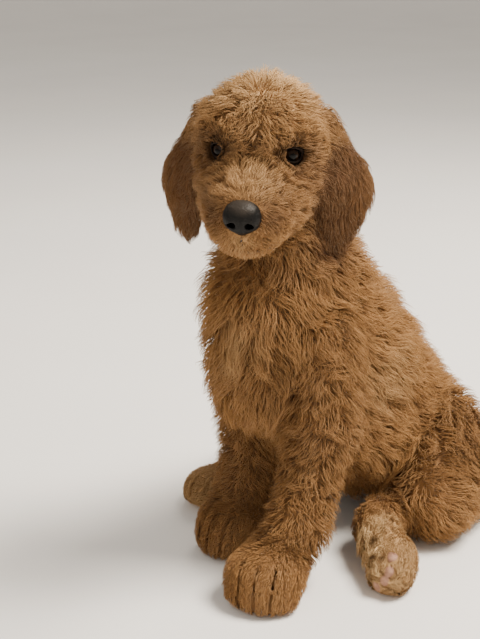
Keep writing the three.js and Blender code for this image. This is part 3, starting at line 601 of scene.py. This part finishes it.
def darkness(points, weights):
    """Ears and legs are darker. Painted shade darkens the face, the folds of the ears, the slits of toes and
    the gaps in the left hind sole, and the dark rims of the eyes spread into painted shade in their sockets.
    """
    # Ears and legs have darker hair, and painted shade darkens the folds where the ears hang against the head
    dark = coat_at(weights, "dark") + FOLD_SHADE * crease(points, weights)
    # The rims of the eyes are dark, and painted shade fills the sockets round them
    rim = np.clip((RIM_END - eye_zone(points)) / RIM_FADE, 0, 1)
    # Painted shade on the face: the stop, round the eyes, beside the nose, the muzzle sides, under the chin
    # and by the ears
    for place, size, strength in PAINTED_SHADE_MARKS:
        dark = dark + strength * blob(points, place, size)
    low = low_down(points)
    # Painted shade in the slits between the toes
    dark[low] += SLIT_SHADE * np.clip(1.3 - distance_to_any(slit_forms, points[low]) / 2, 0, 1)
    # Painted shade in the gaps of the left hind sole is laid on top
    return np.clip(np.maximum(dark, RIM_DARK_AND_SHADE * rim) + shaded_gaps_at(points), 0, 1)


# Where the cream hair of the left hind foot starts and ends, and how far each edge fades
SOLE_BELOW, SOLE_AHEAD, SOLE_REACH = (11, 7), (21, 8), (62, 10)


def sole_share(points):
    """How near the points are to the sole and the toe ends of the left hind foot."""
    foot = FEET["hind_left"]
    offset = (points - foot["tip"]) / foot["size"]
    ahead, below = offset @ foot["front"], -(offset @ foot["over"])
    near = np.clip((SOLE_REACH[0] - np.linalg.norm(offset, axis=1)) / SOLE_REACH[1], 0, 1)
    under = (below - SOLE_BELOW[0]) / SOLE_BELOW[1]
    in_front = (ahead - SOLE_AHEAD[0]) / SOLE_AHEAD[1]
    return near * np.clip(np.maximum(under, in_front), 0, 1)


# Painted shade in gaps in the cream hair of the left hind sole, where the hair is also shorter: forward,
# across and down
SHADED_GAPS = [((-21, -12, 22), 6), ((-6, -2, 22), 5), ((8, -10, 19), 5), ((20, 0, 17), 4.5)]


def shaded_gaps_at(points):
    places = [(on_foot(FEET["hind_left"], *place), size) for place, size in SHADED_GAPS]
    return np.max([blob(points, place, size) for place, size in places], axis=0)


# The rest of the left hind foot is paler too: how far from its toes, its fading edge and its strength
PALE_REACH, PALE_FADE, PALE_STRENGTH = 52, 8, 0.4


def paleness(points):
    """Cream hair on the hind feet, a pale chin, light marks on the muzzle and chest, painted light on the
    crown and a painted highlight on the left flank.
    """
    marks = [strength * blob(points, place, size) for place, size, strength in PALE_AND_LIT_MARKS]
    near = np.linalg.norm(points - FEET["hind_left"]["tip"], axis=1)
    marks += [sole_share(points), PALE_STRENGTH * np.clip((PALE_REACH - near) / PALE_FADE, 0, 1)]
    return np.max(marks, axis=0) * (1 - 0.9 * shaded_gaps_at(points))


skin_weights = weights_at(skin_points)
set_values(skin, dark=darkness(skin_points, skin_weights), pale=paleness(skin_points))
set_values(skin, along=np.zeros(len(skin_points)), shade=np.full(len(skin_points), 0.3))


def scattered_roots():
    """Root places spread evenly over the skin, as close as the spacing of its coat asks."""
    corners = skin_points[skin_faces]
    crossed = np.cross(corners[:, 2] - corners[:, 0], corners[:, 3] - corners[:, 1])
    area = 0.5 * np.linalg.norm(crossed, axis=1)
    spacing = coat_at(skin_weights, "spacing")[skin_faces].mean(axis=1)
    wanted = DENSITY * area / spacing**2
    count = np.floor(wanted + rng.random(len(wanted))).astype(int)
    face = np.repeat(np.arange(len(count)), count)
    u, v = rng.random((2, len(face)))[:, :, None]
    c = corners[face]
    points = (c[:, 0] * (1 - u) + c[:, 1] * u) * (1 - v) + (c[:, 3] * (1 - u) + c[:, 2] * u) * v
    for _ in range(2):
        values, slopes = body.sampled(points)
        points = points - slopes * (values / (slopes**2).sum(axis=1))[:, None]
    return points, unit(slopes)


LEAST_SLOPE = 0.05


def settled(points, heights, cling):
    """Moves points to their heights over the skin; those that stand higher come down by their cling."""
    for _ in range(2):
        values, slopes = body.sampled(points)
        miss = heights - values
        miss = np.where(miss > 0, miss, cling * miss)
        points = points + slopes * (miss / np.maximum((slopes**2).sum(axis=1), LEAST_SLOPE))[:, None]
    points[:, 2] = np.maximum(points[:, 2], TUFT_LIFT)
    return points


def on_skin(points, height):
    """The nearest places on the skin, or over it."""
    for _ in range(3):
        points = settled(points, height, 1.0)
    return points


# The coat keeps this far from the nose, the lips, the slits of the toes and the pads
NOSE_BARE, LIP_BARE, SLIT_BARE, PAD_BARE = 0.6, 1.7, 0.4, 1.0
# The dog rests on the skin under the first level, and under the second where it looks down
REST_LEVELS = (1.5, 5)


def is_bare(points, normals):
    """Round the eyes, at the nose, along the lips, on the pads, in slits, and where the dog rests."""
    height = points[:, 2]
    bare = (height < REST_LEVELS[0]) | ((height < REST_LEVELS[1]) & (normals[:, 2] < -0.7))
    bare |= eye_zone(points) < 1
    face = np.flatnonzero(np.linalg.norm(points - on_head(64, 0, -36), axis=1) < 50)
    bare[face] |= distance_to_any(nose_forms, points[face]) < NOSE_BARE
    bare[face] |= nearest(points[face], mouth) < LIP_BARE
    low = low_down(points)
    bare[low] |= distance_to_any(slit_forms, points[low]) < SLIT_BARE
    bare[low] |= distance_to_any(all_pads, points[low]) < PAD_BARE
    return bare


# The least share of its length that the coat keeps near eyes and nose, where it starts to grow, and how
# slowly
EYE_TRIM, NOSE_TRIM = (0.38, 10, 13), (0.3, 5, 16)
FRINGE, HOLE_TRIM, FOLD_TRIM = 0.9, 0.7, 0.5


def lengths_at(points, weights):
    """The coat is short near the eyes, the nose and the folds of the ears, with a fringe round the left
    hind sole."""
    least, start, fade = EYE_TRIM
    eye = np.clip(least + (eye_distance(points) - start) / fade, least, 1)
    least, start, fade = NOSE_TRIM
    nose = np.clip((np.linalg.norm(points - on_head(*NOSE_PLACE), axis=1) - start) / fade, least, 1)
    fringe = (1 + FRINGE * sole_share(points)) * (1 - HOLE_TRIM * shaded_gaps_at(points))
    return np.minimum(eye, nose) * fringe * (1 - FOLD_TRIM * crease(points, weights))


DENSITY = 1.0
mouth = on_skin(lip_points(), 0.0)

# The toes of the rolled foot show their pads at their ends: forward, down and how deep they are set
END_PAD, END_PAD_FLATNESS = (21, 11, 1.4), 0.6
foot = FEET["hind_left"]
for i, place in enumerate(TOE_PLACES):
    ahead, down, depth = END_PAD
    ahead = ahead - 0.8 * set_back(foot, place)
    spot = on_skin(on_foot(foot, ahead, place * foot["spread"], down)[None], -depth)
    outward, end = unit(body.sampled(spot)[1])[0], spot[0] - 2 * foot["front"]
    pad_forms["hind_left"][len(HEEL_LOBES) + i] = shape(spot[0], end, 4.4, 4.2, outward, END_PAD_FLATNESS)
all_pads = [one for pads in pad_forms.values() for one in pads]
roots, root_normals = scattered_roots()
keep = ~is_bare(roots, root_normals)
roots, root_normals = roots[keep], root_normals[keep]
weights = weights_at(roots)


# The steps of a tuft's path, how deep it starts and how high it stands at least, and how fast it rises
# and starts to curl
STEPS = 5
ROOT_DEPTH, LEAST_HEIGHT, RISE_POWER, CURL_START = 0.8, 0.6, 2.2, 1.6


def grow(points, normals, weights, guides):
    """The paths of tufts from their roots, with the twist, phase and size of the lock they belong to."""
    value = {name: coat_at(weights, name) for name in ("length", "rise", "curl", "stray", "cling")}
    lie = lies_at(points, weights)
    flat = unit(lie - (lie * normals).sum(axis=1, keepdims=True) * normals)
    across = np.cross(normals, flat)
    turn = (guides["turn"] * value["stray"])[:, None]
    along = flat * np.cos(turn) + across * np.sin(turn)
    free = (1 - value["cling"])[:, None]
    along = unit(along * (1 - free) + free * (unit(lie) + 0.6 * (along - flat)))
    across = unit(np.cross(normals, along))
    trim = lengths_at(points, weights)
    length = value["length"] * guides["size"] * trim
    rise = value["rise"] * guides["rise"] * trim
    paths = np.empty((len(points), STEPS + 1, 3))
    paths[:, 0] = points - ROOT_DEPTH * normals
    for step in range(1, STEPS + 1):
        t = step / STEPS
        wave = guides["phase"] + 2 * math.pi * guides["turns"] * t
        curl = value["curl"] * trim * min(1.0, CURL_START * t)
        ahead = length * t * (1 - 0.12 * t) + 0.5 * curl * np.cos(wave)
        side = curl * np.sin(wave)
        height = rise * (1 - (1 - t) ** RISE_POWER) + 0.6 * curl * (np.cos(wave) - 1)
        moved = points + along * ahead[:, None] + across * side[:, None]
        moved += normals * (height * (1 - value["cling"]))[:, None]
        paths[:, step] = settled(moved, np.maximum(height, LEAST_HEIGHT), value["cling"])
    return paths


def locks_of(points, weights):
    """Some of the roots lead a lock, and each root follows the nearest leader."""
    spacing, lock = coat_at(weights, "spacing"), coat_at(weights, "lock")
    leaders = np.flatnonzero(rng.random(len(points)) < (spacing / lock) ** 2 / DENSITY)
    tree = kdtree.KDTree(len(leaders))
    for i, leader in enumerate(leaders):
        tree.insert(Vector(points[leader]), i)
    tree.balance()
    follow = np.array([tree.find(Vector(point))[1] for point in points])
    n = len(leaders)
    guides = dict(
        turn=rng.normal(0, 1, n),
        phase=rng.random(n) * 2 * math.pi,
        turns=rng.uniform(0.7, 1.3, n) * rng.choice([-1, 1], n),
        size=rng.uniform(0.85, 1.15, n),
        rise=rng.uniform(0.8, 1.05, n),
        shade=rng.random(n),
    )
    return leaders, follow, guides


# Tufts draw towards their leader's tip, stand lower at the edge of the lock, and each differ a little
DRAW_POWER, EDGE_DROP = 1.3, 0.2
leaders, follow, guides = locks_of(roots, weights)
offset = roots - roots[leaders][follow]
edge = np.clip(np.linalg.norm(offset, axis=1) / (0.6 * coat_at(weights, "lock")), 0, 1)
lead_paths = grow(roots[leaders], root_normals[leaders], weights[leaders], guides)
own = {name: numbers[follow] for name, numbers in guides.items()}
own["turn"] = own["turn"] + rng.normal(0, 0.4, len(roots))
own["phase"] = own["phase"] + rng.normal(0, 0.4, len(roots))
own["size"] = own["size"] * rng.uniform(0.82, 1.12, len(roots))
own["rise"] = own["rise"] * rng.uniform(0.75, 1.08, len(roots)) * (1 - EDGE_DROP * edge**2)
paths = grow(roots, root_normals, weights, own)
draw = (np.linspace(0, 1, STEPS + 1) ** DRAW_POWER)[:, None]
draw = coat_at(weights, "draw")[:, None, None] * draw
paths = paths * (1 - draw) + (lead_paths[follow] + 0.4 * offset[:, None]) * draw
paths[:, :, 2] = np.maximum(paths[:, :, 2], TUFT_LIFT)


def tube_faces(rings, count):
    """Triangles of a row of rings with a point before the first ring and one after the last."""
    triangles = []
    for i in range(count):
        j = (i + 1) % count
        triangles.append((0, 1 + j, 1 + i))
        for ring in range(rings - 1):
            a, b = 1 + ring * count + i, 1 + ring * count + j
            triangles += [(a, b, b + count), (a, b + count, a + count)]
        last = 1 + (rings - 1) * count
        triangles.append((last + i, last + j, last + count))
    return np.array(triangles)[:, ::-1]


def tuft_faces(rings):
    """Triangles of a tuft: its rings and its tip, and one triangle at its root."""
    tube = tube_faces(rings, 3) - 1
    return np.vstack([[[0, 1, 2]], tube[(tube >= 0).all(axis=1)]])


TUFT_FLATNESS = 0.55
PATCH = 0.003


def tuft_points(paths, normals, widths):
    """Tapered three-sided tufts along the paths: rings, then a tip."""
    rings = paths.shape[1] - 1
    tangent = unit(np.gradient(paths, axis=1))
    side = unit(np.cross(tangent, normals[:, None] + 1e-6))
    over = np.cross(side, tangent)
    share = np.arange(rings) / rings
    girth = (0.55 + 0.45 * np.sin(np.pi * np.minimum(share * 1.6 + 0.15, 1))) * (1 - share**2.2)
    radius = (widths[:, None] * girth)[:, :, None, None]
    angles = 2 * math.pi * np.arange(3) / 3 + math.pi / 2
    bulge = np.cos(angles)[:, None] * side[:, :rings, None]
    bulge = bulge + TUFT_FLATNESS * np.sin(angles)[:, None] * over[:, :rings, None]
    round_it = (paths[:, :rings, None] + bulge * radius).reshape(len(paths), -1, 3)
    return np.concatenate([round_it, paths[:, -1:]], axis=1), share


def tuft_mesh(name, groups, values, low, size):
    """One mesh of tufts that are drawn in few steps or many."""
    points, faces, uvs, along, owners = [], [], [], [], []
    start = 0
    for members, tufts in groups:
        corners, share = tuft_points(tufts, root_normals[members], widths[members])
        each = corners.shape[1]
        firsts = start + np.arange(len(members)) * each
        faces.append((tuft_faces(len(share)) + firsts[:, None, None]).reshape(-1, 3))
        steps = np.append(np.repeat(share, 3), 1.0)
        turn = np.append(np.tile([0, 0.5, 1], len(share)), 0.5)
        home = unwrap(roots[members], root_normals[members], low, size)
        uvs.append((home[:, None] + np.stack([turn, steps], axis=1)[None] * PATCH).reshape(-1, 2))
        points.append(corners.reshape(-1, 3))
        along.append(np.tile(steps, len(members)))
        owners.append(np.repeat(members, each))
        start += len(members) * each
    faces, owners = np.concatenate(faces), np.concatenate(owners)
    piece = new_mesh(name, np.concatenate(points), faces)
    set_values(piece, along=np.concatenate(along))
    set_values(piece, **{key: numbers[owners] for key, numbers in values.items()})
    set_unwrap(piece, np.concatenate(uvs)[faces.ravel()])
    return piece


class Material:
    """A material and the nodes that feed its shader. Textures are measured in metres."""

    def __init__(self, name, **inputs):
        self.material = bpy.data.materials.new(name)
        self.material.use_nodes = True
        self.nodes, self.links = self.material.node_tree.nodes, self.material.node_tree.links
        self.shader = self.nodes["Principled BSDF"]
        self.place = self.nodes.new("ShaderNodeTexCoord").outputs["Object"]
        self.feed(self.shader, **inputs)

    def feed(self, node, **inputs):
        """Sets a node's inputs, or links them where a socket is given."""
        for key, value in inputs.items():
            socket = node.inputs[key.replace("_", " ")]
            if isinstance(value, bpy.types.NodeSocket):
                self.links.new(value, socket)
            else:
                socket.default_value = value
        return node

    def attribute(self, key):
        node = self.nodes.new("ShaderNodeAttribute")
        node.attribute_name = key
        return node.outputs["Fac"]

    def noise(self, scale, detail=3.0):
        node = self.nodes.new("ShaderNodeTexNoise")
        return self.feed(node, Scale=scale, Detail=detail, Vector=self.place).outputs["Fac"]

    def cells(self, scale):
        node = self.nodes.new("ShaderNodeTexVoronoi")
        return self.feed(node, Scale=scale, Vector=self.place).outputs["Distance"]

    def maths(self, kind, a, b):
        node = self.nodes.new("ShaderNodeMath")
        node.operation, node.use_clamp = kind, True
        for socket, value in zip(node.inputs, (a, b)):
            if isinstance(value, float):
                socket.default_value = value
            else:
                self.links.new(value, socket)
        return node.outputs[0]

    def ramp(self, value, *stops):
        node = self.nodes.new("ShaderNodeValToRGB")
        elements = node.color_ramp.elements
        for element, (position, colour) in zip(elements, (stops[0], stops[-1])):
            element.position, element.color = position, (*colour, 1)
        for position, colour in stops[1:-1]:
            elements.new(position).color = (*colour, 1)
        self.links.new(value, node.inputs[0])
        return node.outputs["Color"]

    def mix(self, factor, a, b):
        node = self.nodes.new("ShaderNodeMix")
        node.data_type = "RGBA"
        self.links.new(factor, node.inputs["Factor"])
        sockets = [socket for socket in node.inputs if socket.type == "RGBA"]
        for socket, value in zip(sockets, (a, b)):
            self.links.new(value, socket)
        return next(socket for socket in node.outputs if socket.type == "RGBA")

    def colour(self, value):
        self.feed(self.shader, Base_Color=value)

    def bump(self, height, strength, depth):
        node = self.nodes.new("ShaderNodeBump")
        self.feed(node, Height=height, Strength=strength, Distance=depth * MM)
        self.feed(self.shader, Normal=node.outputs["Normal"])

    def on(self, piece):
        piece.data.materials.clear()
        piece.data.materials.append(self.material)


def speckled(name, roughness, specular, scale, dark, light):
    """A material whose colour runs from dark to light by noise."""
    made = Material(name, Roughness=roughness, Specular_IOR_Level=specular)
    made.colour(made.ramp(made.noise(scale), dark, light))
    return made


# Hair: deep at the roots and lighter at the tips, the deep roots partly painted shade down in the coat,
# varied from lock to lock and over the body. Colours are linear
fur = Material("coat", Roughness=0.7, Specular_IOR_Level=0.22, Sheen_Weight=0.14, Sheen_Roughness=0.45)
fur.feed(fur.shader, Sheen_Tint=(1.0, 0.8, 0.55, 1))
# Lighter towards the tips; the darker roots are partly painted shade down in the coat
tip = fur.maths("MULTIPLY", fur.attribute("along"), 0.4)
lock = fur.maths("MULTIPLY", fur.attribute("shade"), 0.17)
level = fur.maths("ADD", fur.maths("ADD", tip, lock), fur.maths("MULTIPLY", fur.noise(14.0), 0.45))
level = fur.maths("SUBTRACT", level, 0.045)
LIGHT, MIDDLE, DEEP = (0.54, 0.285, 0.095), (0.335, 0.167, 0.056), (0.17, 0.075, 0.022)
hair = fur.ramp(level, (0.0, DEEP), (0.45, MIDDLE), (1.0, LIGHT))
# The dark ramp gives the darker hair of ears and legs and the painted shade; the pale ramp gives cream hair,
# pale marks and the painted light
dark_and_shaded_hair = fur.ramp(level, (0.0, (0.055, 0.021, 0.006)), (1.0, (0.20, 0.092, 0.032)))
pale_and_lit_hair = fur.ramp(level, (0.0, (0.44, 0.26, 0.11)), (1.0, (0.86, 0.60, 0.30)))
hair = fur.mix(fur.attribute("dark"), hair, dark_and_shaded_hair)
fur.colour(fur.mix(fur.attribute("pale"), hair, pale_and_lit_hair))
fur.bump(fur.noise(900.0, 4.0), 0.4, 0.5)
fur.on(skin)

tuft_values = dict(
    shade=np.clip(own["shade"] * 0.7 + rng.random(len(roots)) * 0.3, 0, 1),
    dark=darkness(roots, weights),
    pale=np.clip(paleness(roots), 0, 1),
)
widths = coat_at(weights, "width") * rng.uniform(0.8, 1.15, len(roots)) / math.sqrt(DENSITY)
lengths = np.linalg.norm(np.diff(paths, axis=1), axis=2).sum(axis=1)
# Short tufts are drawn in three steps, longer ones in four. Their triangles are counted, and a piece
# holds at most so many
SHORT, PIECE_LIMIT = 16.0, 185000
COSTS = {steps: len(tuft_faces(steps)) for steps in (3, 4)}
step_counts = np.where(lengths < SHORT, 3, 4)
coat_low, coat_size = roots.min(axis=0), np.ptp(roots, axis=0).max()


def in_steps(members, steps):
    """Paths of tufts in fewer steps."""
    whole = paths[members]
    place = np.linspace(0, STEPS, steps + 1)
    first = np.minimum(place.astype(int), STEPS - 1)
    share = (place - first)[:, None]
    return whole[:, first] * (1 - share) + whole[:, first + 1] * share


piece_of = np.array([one["piece"] for one in forms])[weights.argmax(axis=1)]
for piece_name in sorted(set(piece_of)):
    members = np.flatnonzero(piece_of == piece_name)
    cost = sum(COSTS[steps] for steps in step_counts[members])
    parts = math.ceil(cost / PIECE_LIMIT)
    for k in range(parts):
        part = members[k::parts]
        groups = [(part[step_counts[part] == steps], steps) for steps in COSTS]
        groups = [(chosen, in_steps(chosen, steps)) for chosen, steps in groups if len(chosen)]
        name = f"coat_{piece_name}" + (f"_{k + 1}" if parts > 1 else "")
        fur.on(tuft_mesh(name, groups, tuft_values, coat_low, coat_size))


def turned(centre, axis, profile, count, square_to=UP):
    """Rings of points round an axis from a profile of radii and heights."""
    first = unit(np.cross(axis, square_to))
    second = np.cross(axis, first)
    angles = np.linspace(0, 2 * math.pi, count, endpoint=False)[:, None]
    round_it = np.cos(angles) * first + np.sin(angles) * second
    return np.array([centre + height * axis + radius * round_it for radius, height in profile])


# Eyes: a ball with a bulging cornea, which looks ahead and a little outwards
CORNEA_REACH, CORNEA_BULGE, BALL_SIDES = 0.62, 0.75, 40


def eyeball(name, side):
    gaze = unit(0.82 * FRONT + 0.42 * side * LEFT - 0.05 * CROWN)
    angles = np.concatenate([np.linspace(0, 1, 25)[1:], np.linspace(1, math.pi, 15)[1:-1]])
    reach = EYE_RADIUS + CORNEA_BULGE * np.clip(1 - (angles / CORNEA_REACH) ** 2, 0, 1)
    centre = eye_centre(side)
    profile = np.stack([reach * np.sin(angles), reach * np.cos(angles)], axis=1)
    rings = turned(centre, gaze, profile, BALL_SIDES)
    front, rear = centre + (EYE_RADIUS + CORNEA_BULGE) * gaze, centre - EYE_RADIUS * gaze
    points = np.vstack([front, *rings, rear])
    piece = new_mesh(name, points, tube_faces(len(rings), BALL_SIDES))
    set_values(piece, around=np.concatenate([[0], np.repeat(angles, BALL_SIDES), [math.pi]]) / math.pi)
    return piece


# Pupil, iris, its dark edge and the white, by the share of the way round from the cornea
eye = Material("eye", Roughness=0.07, Specular_IOR_Level=0.12)
flecks = eye.maths("MULTIPLY", eye.noise(1600.0), 0.03)
eye.colour(eye.ramp(
    eye.maths("ADD", eye.maths("SUBTRACT", eye.attribute("around"), 0.015), flecks),
    (0.0, (0.002, 0.0015, 0.0015)),
    (0.085, (0.002, 0.0015, 0.0015)),
    (0.105, (0.018, 0.008, 0.0035)),
    (0.175, (0.016, 0.007, 0.003)),
    (0.20, (0.003, 0.002, 0.0015)),
    (0.27, (0.012, 0.006, 0.004)),
    (0.4, (0.05, 0.03, 0.02)),
))
lid = speckled("lid", 0.7, 0.15, 500.0, (0.3, (0.008, 0.0045, 0.003)), (0.75, (0.026, 0.014, 0.009)))
lid.bump(lid.noise(1500.0), 0.5, 0.3)

# Lids: rings round the opening, each a scale of it and a distance from the middle of the eye, then
# circles under the skin, each a radius and a height
LID_RINGS = ((0.93, 9.1), (0.95, 9.7), (1.0, 10.1), (1.1, 10.35), (1.24, 10.3))
LID_ROOTS = ((11.0, 3.6), (12.5, 1.0))
LID_POINTS = 64
# Almond corners, and an upper lid that hangs a little over the eye
CORNER_POWER, CORNER_PINCH, UPPER_SHARE, UPPER_HANG = 0.86, 0.12, 0.94, 0.5


def lids(name, side):
    out, long, short = eye_axes(side)
    centre = eye_centre(side)
    angles = np.linspace(0, 2 * math.pi, LID_POINTS, endpoint=False)
    cos, sin = np.cos(angles), np.sin(angles)
    across = LID_OPENING[0] * np.sign(cos) * np.abs(cos) ** CORNER_POWER
    above = LID_OPENING[1] * sin * (1 - CORNER_PINCH * cos**2)
    above = np.where(above > 0, above * UPPER_SHARE, above)
    rings = []
    for scale, reach in LID_RINGS:
        flat = scale * (across[:, None] * long + above[:, None] * short)
        height = np.sqrt(np.maximum(reach**2 - (flat**2).sum(axis=1), 0.1))
        hang = UPPER_HANG * np.clip(sin, 0, 1)
        rings.append(centre + flat + (height + hang)[:, None] * out)
    for radius, height in LID_ROOTS:
        rings.append(centre + height * out + radius * (cos[:, None] * long + sin[:, None] * short))
    index = np.arange(len(rings) * LID_POINTS).reshape(len(rings), LID_POINTS)
    following = np.roll(index, -1, axis=0)
    corners = index, np.roll(index, -1, axis=1), np.roll(following, -1, axis=1), following
    faces = np.stack(corners, axis=-1).reshape(-1, 4)
    return new_mesh(name, np.vstack(rings), faces[:, ::-1] if side > 0 else faces)


for name, side in SIDES.items():
    ball = eyeball(f"eyeball_{name}", side)
    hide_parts(f"eye_{name}")
    eye.on(ball)
    lid.on(lids(f"lids_{name}", side))


def netted(name, shapes, cell, softness, change):
    """A smooth closed piece over some forms, and its points."""
    points, faces = Grid(shapes, cell, 3 * cell + 2, softness, change).surface()
    return new_mesh(name, points, faces), points


def nostrils_cut(points, values):
    return np.maximum(values, -distance_to_any(nose_cuts, points))


# The top of the nose is lighter, up to this high over its middle
NOSE_TOP = 9
nose_piece, nose_points = netted("nose_leather", nose_forms, 0.8, 3.0, nostrils_cut)
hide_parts("nose")
top = (nose_points - on_head(82, 0, -17)) @ unit(0.4 * FRONT + CROWN)
set_values(nose_piece, top=np.clip(top / NOSE_TOP, 0, 1))
leather = Material("nose", Roughness=0.45, Specular_IOR_Level=0.14)
leather.colour(leather.ramp(
    leather.maths("ADD", leather.attribute("top"), leather.maths("MULTIPLY", leather.noise(350.0), 0.15)),
    (0.2, (0.003, 0.0026, 0.0026)),
    (0.7, (0.005, 0.0045, 0.004)),
    (1.0, (0.028, 0.022, 0.017)),
))
leather.bump(leather.cells(1100.0), 0.55, 0.35)
leather.on(nose_piece)


def strand(line, radii, side, over, starts_at, ends_at, count):
    """Rings along a line with points at its two ends."""
    angles = np.linspace(0, 2 * math.pi, count, endpoint=False)[:, None]
    rings = [p + r * (np.cos(angles) * s + np.sin(angles) * o) for p, r, s, o in zip(line, radii, side, over)]
    return np.vstack([starts_at, *rings, ends_at]), tube_faces(len(line), count)


def bead(line, radius, above, count):
    """A round strand along a line that tapers at its ends."""
    tangent = unit(np.gradient(line, axis=0))
    side = unit(np.cross(tangent, above))
    share = np.linspace(0, 1, len(line))
    girth = radius * np.minimum(1, 6 * np.minimum(share, 1 - share) + 0.15)
    starts_at, ends_at = line[0] - 0.3 * girth[0] * tangent[0], line[-1] + 0.3 * girth[-1] * tangent[-1]
    return strand(line, girth, side, np.cross(side, tangent), starts_at, ends_at, count)


def joined(name, parts):
    """One piece of several meshes of triangles."""
    points, faces, start = [], [], 0
    for part_points, part_faces in parts:
        points.append(part_points)
        faces.append(part_faces + start)
        start += len(part_points)
    return new_mesh(name, np.vstack(points), np.vstack(faces))


# Lips: two dark edges that meet along the mouth, each a level and a height over the skin, and the groove
# up to the nose
LIP_EDGES = ((0.9, 0.5), (-0.9, 0.2))
lip_parts = [bead(on_skin(lip_points(level), height), 1.1, CROWN, 10) for level, height in LIP_EDGES]
groove = np.array([on_head(88 - 4 * t, 0, -30 - 12 * t) for t in np.linspace(0, 1, 12)])
lip_parts.append(bead(on_skin(groove, 0.0), 0.8, LEFT, 8))
lips = joined("lips", lip_parts)
lip = speckled("lip", 0.5, 0.35, 400.0, (0.3, (0.015, 0.009, 0.008)), (0.75, (0.05, 0.028, 0.022)))
lip.bump(lip.noise(1300.0), 0.4, 0.25)
lip.on(lips)

# Pads, and the claws over the toes, whose path is forward and down
pad = speckled("pad", 0.6, 0.3, 220.0, (0.3, (0.30, 0.145, 0.092)), (0.72, (0.47, 0.27, 0.18)))
pad.bump(pad.cells(1300.0), 0.6, 0.35)
horn = speckled("claw", 0.35, 0.45, 260.0, (0.3, (0.02, 0.013, 0.01)), (0.75, (0.09, 0.06, 0.045)))
horn.bump(horn.noise(900.0), 0.3, 0.15)
CLAW_PATH = ((4.0, 0.5), (8.0, 0.0), (11.0, 0.6), (13.5, 2.0), (15.0, 3.8))
CLAW_RADII = np.array((2.3, 2.1, 1.7, 1.0, 0.3))
CLAW_SET_BACK, CLAW_NARROWNESS = 4.5, 0.75


def off_floor(points, values):
    return np.maximum(values, PAD_LIFT - points[:, 2])


def claw(foot, place):
    ahead = foot["reach"] - CLAW_SET_BACK - set_back(foot, place)
    line = np.array([on_foot(foot, ahead + f, place * foot["spread"], d) for f, d in CLAW_PATH])
    line[:, 2] = np.maximum(line[:, 2], CLAW_LIFT)
    tangent = unit(np.gradient(line, axis=0))
    side, over = [CLAW_NARROWNESS * foot["across"]] * len(line), np.cross(foot["across"], tangent)
    tip = line[-1] + foot["size"] * 0.5 * tangent[-1]
    return strand(line, foot["size"] * CLAW_RADII, side, over, line[0], tip, 10)


for name, foot in FEET.items():
    pads, _ = netted(f"soles_{name}", pad_forms[name], 0.7, 0.8, off_floor)
    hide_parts(f"pads_{name}")
    pad.on(pads)
    horn.on(joined(f"claws_{name}", [claw(foot, place) for place in TOE_PLACES]))

# Camera: 45 degrees to the dog's left, looking down
CAMERA_PLACE = np.array([618.8, -593.2, 479.0])
CAMERA_TURN, CAMERA_PITCH = math.radians(45), math.radians(18)
camera = added("camera", bpy.data.cameras.new("camera"))
level = math.cos(CAMERA_PITCH)
back = Vector((math.sin(CAMERA_TURN) * level, -math.cos(CAMERA_TURN) * level, math.sin(CAMERA_PITCH)))
camera.location = placed(CAMERA_PLACE)
camera.rotation_euler = (-back).to_track_quat("-Z", "Y").to_euler()
camera.data.lens, camera.data.sensor_width = 70, 36
camera.data.clip_start, camera.data.clip_end = 0.01, 60
bpy.context.scene.camera = camera

# A pale floor that rises far off into a wall all round: radii and heights in metres
FLOOR_RADII, WALL_CURVE, FLOOR_SIDES = (0.02, 1.0, 4.0, 5.0), 3, 96
PROFILE = [(radius, 0.0) for radius in FLOOR_RADII]
for a in np.linspace(0.1, math.pi / 2, 12):
    PROFILE.append((FLOOR_RADII[-1] + WALL_CURVE * math.sin(a), WALL_CURVE - WALL_CURVE * math.cos(a)))
stage_rings = turned(np.zeros(3), UP, np.array(PROFILE) * 1000, FLOOR_SIDES, square_to=FRONT)
stage_points = np.vstack([[0, 0, 0], stage_rings.reshape(-1, 3)]) - SHIFT * (1, 1, 0)
last = len(stage_rings) * FLOOR_SIDES
stage_faces = [t for t in tube_faces(len(stage_rings), FLOOR_SIDES).tolist() if max(t) <= last]
floor_mesh = bpy.data.meshes.new("floor")
floor_mesh.from_pydata(placed(stage_points).tolist(), [], stage_faces)
floor_mesh.shade_smooth()
floor = added("floor", floor_mesh)
paper = speckled("floor", 0.85, 0.2, 3.0, (0.3, (0.84, 0.805, 0.76)), (0.7, (0.87, 0.835, 0.79)))
paper.on(floor)


LIGHT_AIM = Vector((0, 0, 0.2))


def area_light(name, place, size, energy, colour):
    """A soft light aimed at the dog's chest."""
    light = bpy.data.lights.new(name, "AREA")
    light.size, light.energy, light.color = size, energy, colour
    lamp = added(name, light)
    lamp.location = place
    lamp.rotation_euler = (LIGHT_AIM - Vector(place)).to_track_quat("-Z", "Y").to_euler()


area_light("key", (0.75, 0.5, 1.75), 0.8, 98, (1.0, 0.93, 0.83))
area_light("fill", (0.3, -1.6, 1.0), 1.4, 7, (1.0, 0.94, 0.87))
area_light("rim", (-0.7, 1.0, 1.3), 0.7, 9, (1.0, 0.93, 0.84))
world = bpy.data.worlds.new("world")
bpy.context.scene.world = world
world.use_nodes = True
background = world.node_tree.nodes["Background"]
background.inputs["Color"].default_value = (0.9, 0.86, 0.80, 1)
background.inputs["Strength"].default_value = 0.68
